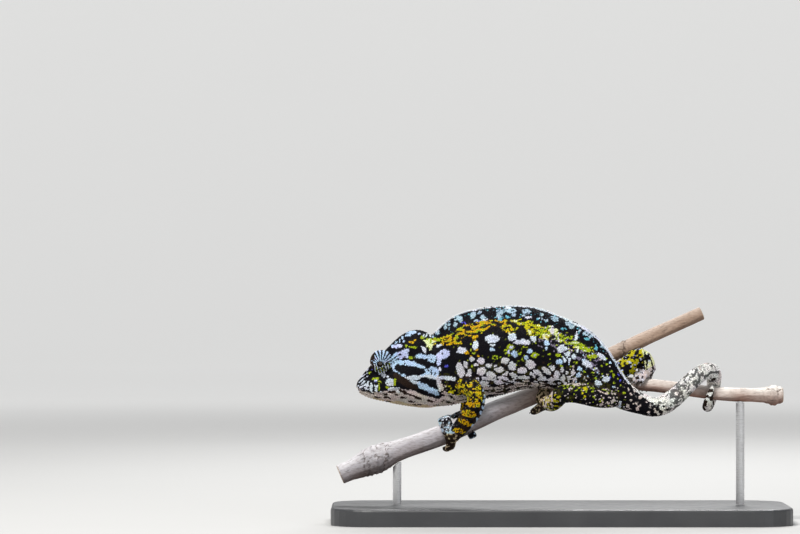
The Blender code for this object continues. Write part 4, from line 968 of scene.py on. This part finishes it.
def scale_mesh(name, spots, ways, out, flat_out, reach, height, colours, unwrap):
    """One mesh of domed scales, each closed, with painted shade at their base and a painted
    highlight at their peak on their colours, and their patches on the unwrap.
    """
    count = len(spots)
    edge = spots[:, None, :] + out * (reach * 0.97)[:, :, None] - ways[:, None, :] * SCALE_SINK
    brow = (spots[:, None, :] + out * (reach * 0.66)[:, :, None]
        + (ways * (height * 0.80)[:, None])[:, None, :])
    peak = (spots + ways * height[:, None])[:, None, :]
    corners = np.concatenate([edge, brow, peak], axis=1)
    ring = [(i, (i + 1) % SCALE_SIDES) for i in range(SCALE_SIDES)]
    faces = [tuple(range(SCALE_SIDES - 1, -1, -1))]
    faces += [(i, j, j + SCALE_SIDES, i + SCALE_SIDES) for i, j in ring]
    faces += [(i + SCALE_SIDES, j + SCALE_SIDES, 2 * SCALE_SIDES) for i, j in ring]
    loops = np.concatenate([np.array(face) for face in faces])
    sizes = np.array([len(face) for face in faces])
    step = corners.shape[1]
    mesh = bpy.data.meshes.new(name)
    mesh.vertices.add(count * step)
    mesh.vertices.foreach_set("co", (corners * MM).astype(np.float32).ravel())
    all_loops = (loops[None, :] + np.arange(count)[:, None] * step).astype(np.int32).ravel()
    starts = np.concatenate([[0], np.cumsum(np.tile(sizes, count))[:-1]]).astype(np.int32)
    mesh.loops.add(len(all_loops))
    mesh.polygons.add(len(starts))
    mesh.loops.foreach_set("vertex_index", all_loops)
    mesh.polygons.foreach_set("loop_start", starts)
    mesh.update(calc_edges=True)
    # Painted shade and highlight: each scale's base ring is painted at 0.35 of its colour, its
    # shoulder at 0.95 and its peak at 1.08.
    painted_dome_light = np.concatenate([np.full(SCALE_SIDES, 0.35), np.full(SCALE_SIDES, 0.95), [1.08]])
    set_colours(mesh, "marks_and_painted_light", (colours[:, None, :] * painted_dome_light[None, :, None]).reshape(-1, 3))
    patch = np.concatenate([flat_out * 0.0014, flat_out * 0.0010, np.zeros((count, 1, 2))], axis=1)
    layer = mesh.uv_layers.new(name="OFBake")
    layer.data.foreach_set("uv", (unwrap[:, None, :] + patch)[:, loops].astype(np.float32).ravel())
    mesh.shade_smooth()
    mesh.materials.append(scale_finish)
    made = placed(name, mesh)
    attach(made, "root")


def unrolled(spots, owner):
    """Each root's place on the unwrap: a strip for each part, rolled off round its length."""
    places = np.zeros((len(spots), 2))
    start = 0.004
    for number in np.unique(owner):
        own = owner == number
        width = 0.992 * own.sum() / len(spots)
        away = spots[own] - spots[own].mean(axis=0)
        axes = np.linalg.svd(away, full_matrices=False)[2]
        along, round_it = away @ axes[0], np.arctan2(away @ axes[1], away @ axes[2])
        spare = min(0.004, width / 4)
        strip = (round_it, start + spare, width - 2 * spare), (along, 0.006, 0.988)
        for column, (values, low, span) in enumerate(strip):
            values = (values - values.min()) / max(np.ptp(values), 0.001)
            places[own, column] = low + values * span
        start += width
    return places


scale_finish, tree, shader = new_material("scale_glaze", {"Specular IOR Level": 0.03})
marks_and_painted_light = add_node(tree, "Attribute", attribute_name="marks_and_painted_light")
tree.links.new(marks_and_painted_light.outputs["Color"], shader.inputs["Base Color"])
varied(tree, object_noise(tree, 1400.0, 3.0), shader.inputs["Roughness"], 0.40, 0.55)
bumped(tree, shader, object_noise(tree, 5200.0, 2.0), 0.00004)

spacing = [SPACING.get(name, SPACING.get(name.rsplit("_", 1)[0], 0.5)) for name in FLESH]
spacing = np.array(spacing)[parts]
spots, ways, owner, room, rows = spread_over(skin.data, parts, spacing, scale_rows)
clear = np.ones(len(spots), bool)
for side in EYES:
    height, aside = about_eye(spots, side)
    clear &= ~((height > 1.0) & (aside < 0.98))
clear &= ~(on_part(owner, "head", "lower_jaw") & (off_lips(spots)[2] < 0.16))
clear &= ~(on_part(owner, "head") & (np.hypot(spots[:, 0] - NOSTRIL[0], spots[:, 2] - NOSTRIL[1])
    < 0.45))
spots, ways, owner, room, rows = (values[clear] for values in (spots, ways, owner, room, rows))
colours = inked(spots, ways, owner) * (0.84 + 0.3 * draw.random(len(spots)))[:, None]
out, flat_out, reach = scale_shapes(spots, ways, room)
height = SCALE_HEIGHT * np.clip(room / 0.5, 0.7, 1.15) * (0.85 + 0.3 * draw.random(len(spots)))
left = spots[:, 1] < mid_y(spots)
for name, nodes in COATS.items():
    own = on_part(owner, *nodes) & (rows < 2)
    if "torso" in name:
        own &= (spots[:, 0] < -10) == ("front" in name)
        own &= left == ("left" in name)
    scale_mesh(name, spots[own], ways[own], out[own], flat_out[own], reach[own], height[own],
        colours[own], unrolled(spots[own], owner[own]))

# A low crest of pointed scales runs down the back from the casque, and a row of small points down
# the throat and the front of the belly. They are cast with the skin and painted paler than it.
own = rows >= 2
point = np.where(rows == 2, 0.26, 0.16)[own] * bell(spots[own, 0], -34, 34) ** 0.5 + 0.12
crest_colour = np.clip(colours[own] + 0.12, 0, 0.85)
scale_mesh("crest_points", spots[own], ways[own], out[own], flat_out[own], reach[own] * 0.85,
    point, crest_colour, unrolled(spots[own], owner[own]))

# The eyeballs are turned glass with a round dark pupil and a thin golden ring, set in the lids so
# that only the middle shows.
glass, tree, shader = new_material("eye_glass", {"Coat Weight": 0.6, "Coat Roughness": 0.04})
ring = add_node(tree, "Attribute", attribute_name="pupil_ring")
ramp(tree, ring.outputs["Fac"], shader.inputs["Base Color"], (0.0, (0.004, 0.004, 0.004)),
    (0.40, (0.006, 0.005, 0.004)), (0.44, (0.22, 0.13, 0.03)), (0.50, (0.12, 0.06, 0.015)),
    (0.56, (0.02, 0.012, 0.008)), (1.0, (0.02, 0.012, 0.008)))
varied(tree, object_noise(tree, 3000.0), shader.inputs["Roughness"], 0.05, 0.09)
EYEBALL = 2.44
for side, (middle, gaze) in EYES.items():
    ball = bmesh.new()
    bmesh.ops.create_uvsphere(ball, u_segments=40, v_segments=48, radius=EYEBALL * MM)
    bmesh.ops.rotate(ball, verts=ball.verts, cent=(0, 0, 0),
        matrix=Vector(gaze).to_track_quat("Z", "Y").to_matrix())
    bmesh.ops.translate(ball, verts=ball.verts, vec=Vector(middle) * MM)
    mesh = finished_mesh("eyeball_" + side, ball, glass)
    _, aside = about_eye(mesh_places(mesh), side)
    set_colours(mesh, "pupil_ring", np.repeat(unit(aside)[:, None], 3, axis=1))
    eyeball = placed("eyeball_" + side, mesh)
    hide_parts("eye_" + side)
    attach(eyeball, "root")

# Each toe ends in a short curved claw of dark horn. Two toes stand on one side of the stem and
# three on the other.
CLAW_LENGTH = 1.15
CLAW_RADIUS = 0.34
CLAW_SIDES = 12
TOE_RADIUS = 1.12 * 0.85
TOES_APART = 1.5
TOE_FAN = 6
# Toes that end past this angle curl on upwards, and the others downwards.
CURLS_ON = 30
# Middle, direction and radius of the stem at each foot, side of the palm, and the toes of each
# bundle: count, last angle round the stem, last slide along it, stoutness.
GRIPS = {
    "forefoot_left": ((-38.04, 1.42, 31.80), (0.918, 0.030, 0.395), 3.60, -1,
        [(3, 118, 0.5, 1.15), (2, -112, 4.0, 1.3)]),
    "forefoot_right": ((-32.90, 1.59, 34.19), (0.898, 0.033, 0.439), 3.59, 1,
        [(3, 85, 1.6, 1.0), (2, -128, -0.2, 1.0)]),
    "hindfoot_left": ((-5.93, 3.87, 45.90), (0.892, 0.148, 0.427), 3.28, -1,
        [(2, 42, 0.8, 1.0), (3, -88, 5.4, 1.65)]),
    "hindfoot_right": ((30.43, 0.47, 47.91), (0.993, -0.069, -0.093), 2.30, -1,
        [(3, 18, 3.4, 1.0), (2, 205, 0.6, 1.0)]),
}
horn, tree, shader = new_material("claw_horn")
varied(tree, object_noise(tree, 1800.0, 3.0), shader.inputs["Base Color"], (0.085, 0.060, 0.042),
    (0.15, 0.115, 0.085))
varied(tree, object_noise(tree, 1500.0), shader.inputs["Roughness"], 0.25, 0.36)
for foot, (middle, ahead, radius, outward, bundles) in GRIPS.items():
    middle, ahead = Vector(middle), Vector(ahead).normalized()
    near = ahead.cross(Vector((0, outward, 0))).cross(ahead).normalized()
    up = Vector((0, 0, 1))
    up = (up - up.dot(ahead) * ahead - up.dot(near) * near).normalized()
    claws = bmesh.new()
    for count, last_angle, last_slide, stout in bundles:
        for number in range(count):
            aside = number - (count - 1) / 2
            angle = math.radians(last_angle - abs(aside) * TOE_FAN)
            turning = 1 if last_angle > CURLS_ON else -1
            away = math.cos(angle) * near + math.sin(angle) * up
            onward = turning * (math.cos(angle) * up - math.sin(angle) * near)
            root = middle + (radius + 0.3 + TOE_RADIUS * stout) * away
            root -= (last_slide + aside * TOES_APART) * ahead
            bmesh.ops.create_cone(claws, cap_ends=True, segments=CLAW_SIDES, radius1=CLAW_RADIUS,
                radius2=0.05, depth=CLAW_LENGTH)
            for vert in claws.verts[-2 * CLAW_SIDES:]:
                along = vert.co.z / CLAW_LENGTH + 0.5
                place = root + onward * (along * CLAW_LENGTH - 0.35) - away * (0.45 * along**2)
                vert.co = (place + vert.co.x * away + vert.co.y * ahead) * MM
    bmesh.ops.recalc_face_normals(claws, faces=claws.faces)
    made = placed("claws_" + foot, finished_mesh("claws_" + foot, claws, horn))
    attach(made, "root")

# The plain pale studio floor, which isn't part of the model: a wide round sheet whose rim turns up
# far behind the cameras, so that every side is seen against it. The far part glows softly, as a
# backdrop lit by lamps of its own, and so is as pale as the middle.
floor_paper, tree, shader = new_material("pale_floor",
    {"Roughness": 0.9, "Specular IOR Level": 0.1, "Emission Color": (1.0, 1.0, 0.99, 1.0)})
varied(tree, object_noise(tree, 3.0, 2.0), shader.inputs["Base Color"], (0.43, 0.43, 0.425),
    (0.445, 0.445, 0.44))
sheet_place = add_node(tree, "TexCoord")
reach = add_node(tree, "VectorMath", operation="LENGTH")
tree.links.new(sheet_place.outputs["Object"], reach.inputs[0])
spans = {"From Min": 0.4, "From Max": 1.5, "To Min": 0.0, "To Max": 0.54}
glow = add_node(tree, "MapRange", spans, interpolation_type="SMOOTHSTEP")
tree.links.new(reach.outputs["Value"], glow.inputs["Value"])
tree.links.new(glow.outputs["Result"], shader.inputs["Emission Strength"])
sheet = bmesh.new()
FLOOR_REACH = 2.4
RIM_BEND = 0.7
profile = [(0.0, 0.0), (FLOOR_REACH / 2, 0.0), (FLOOR_REACH, 0.0)]
for turn in np.radians(np.linspace(7.5, 90, 12)):
    profile.append((FLOOR_REACH + RIM_BEND * math.sin(turn), RIM_BEND - RIM_BEND * math.cos(turn)))
line = [sheet.verts.new((out, 0.0, rise)) for out, rise in profile]
edges = [sheet.edges.new(pair) for pair in zip(line, line[1:])]
bmesh.ops.spin(sheet, geom=line + edges, cent=(0, 0, 0), axis=(0, 0, 1), angle=math.tau, steps=96)
bmesh.ops.remove_doubles(sheet, verts=sheet.verts, dist=0.0001)
for face in sheet.faces:
    face.normal_update()
    middle = face.calc_center_median()
    if face.normal.dot(Vector((-middle.x, -middle.y, 3.0 - middle.z))) < 0:
        face.normal_flip()
floor = placed("studio_floor", finished_mesh("studio_floor", sheet, floor_paper))

# Soft studio light: a round softbox over the front left, a wider and weaker one on the right, a
# third from behind for the outline, and a grey room all round.
for name, place, aim, size, watts, tint in (
    ("key_light", (-0.35, -0.60, 0.95), (-0.02, 0.0, 0.05), 0.40, 19.5, (1.0, 0.985, 0.96)),
    ("fill_light", (0.75, -0.70, 0.35), (0.0, 0.0, 0.05), 0.60, 2.2, (0.93, 0.96, 1.0)),
    ("back_light", (0.10, 0.55, 0.60), (0.0, 0.0, 0.06), 0.40, 6.0, (1.0, 1.0, 1.0)),
):
    lamp = bpy.data.lights.new(name, "AREA")
    lamp.shape = "DISK"
    lamp.size = size
    lamp.energy = watts
    lamp.color = tint
    light = placed(name, lamp)
    light.location = place
    light.rotation_euler = (Vector(aim) - Vector(place)).to_track_quat("-Z", "Y").to_euler()
room = bpy.data.worlds.new("studio_room")
room.use_nodes = True
room.node_tree.nodes["Background"].inputs["Color"].default_value = (0.80, 0.82, 0.85, 1.0)
room.node_tree.nodes["Background"].inputs["Strength"].default_value = 0.21
bpy.context.scene.world = room
bpy.context.scene.view_settings.view_transform = "Standard"

# The camera looks level along +Y with a long lens, as in the photograph.
lens = bpy.data.cameras.new("camera")
lens.lens = 200.6
lens.sensor_width = 36.0
lens.clip_start = 0.1
lens.clip_end = 20.0
camera = placed("camera", lens)
camera.location = (-0.056, -1.56, 0.08925)
camera.rotation_euler = (math.radians(90), 0.0, 0.0)
bpy.context.scene.camera = camera
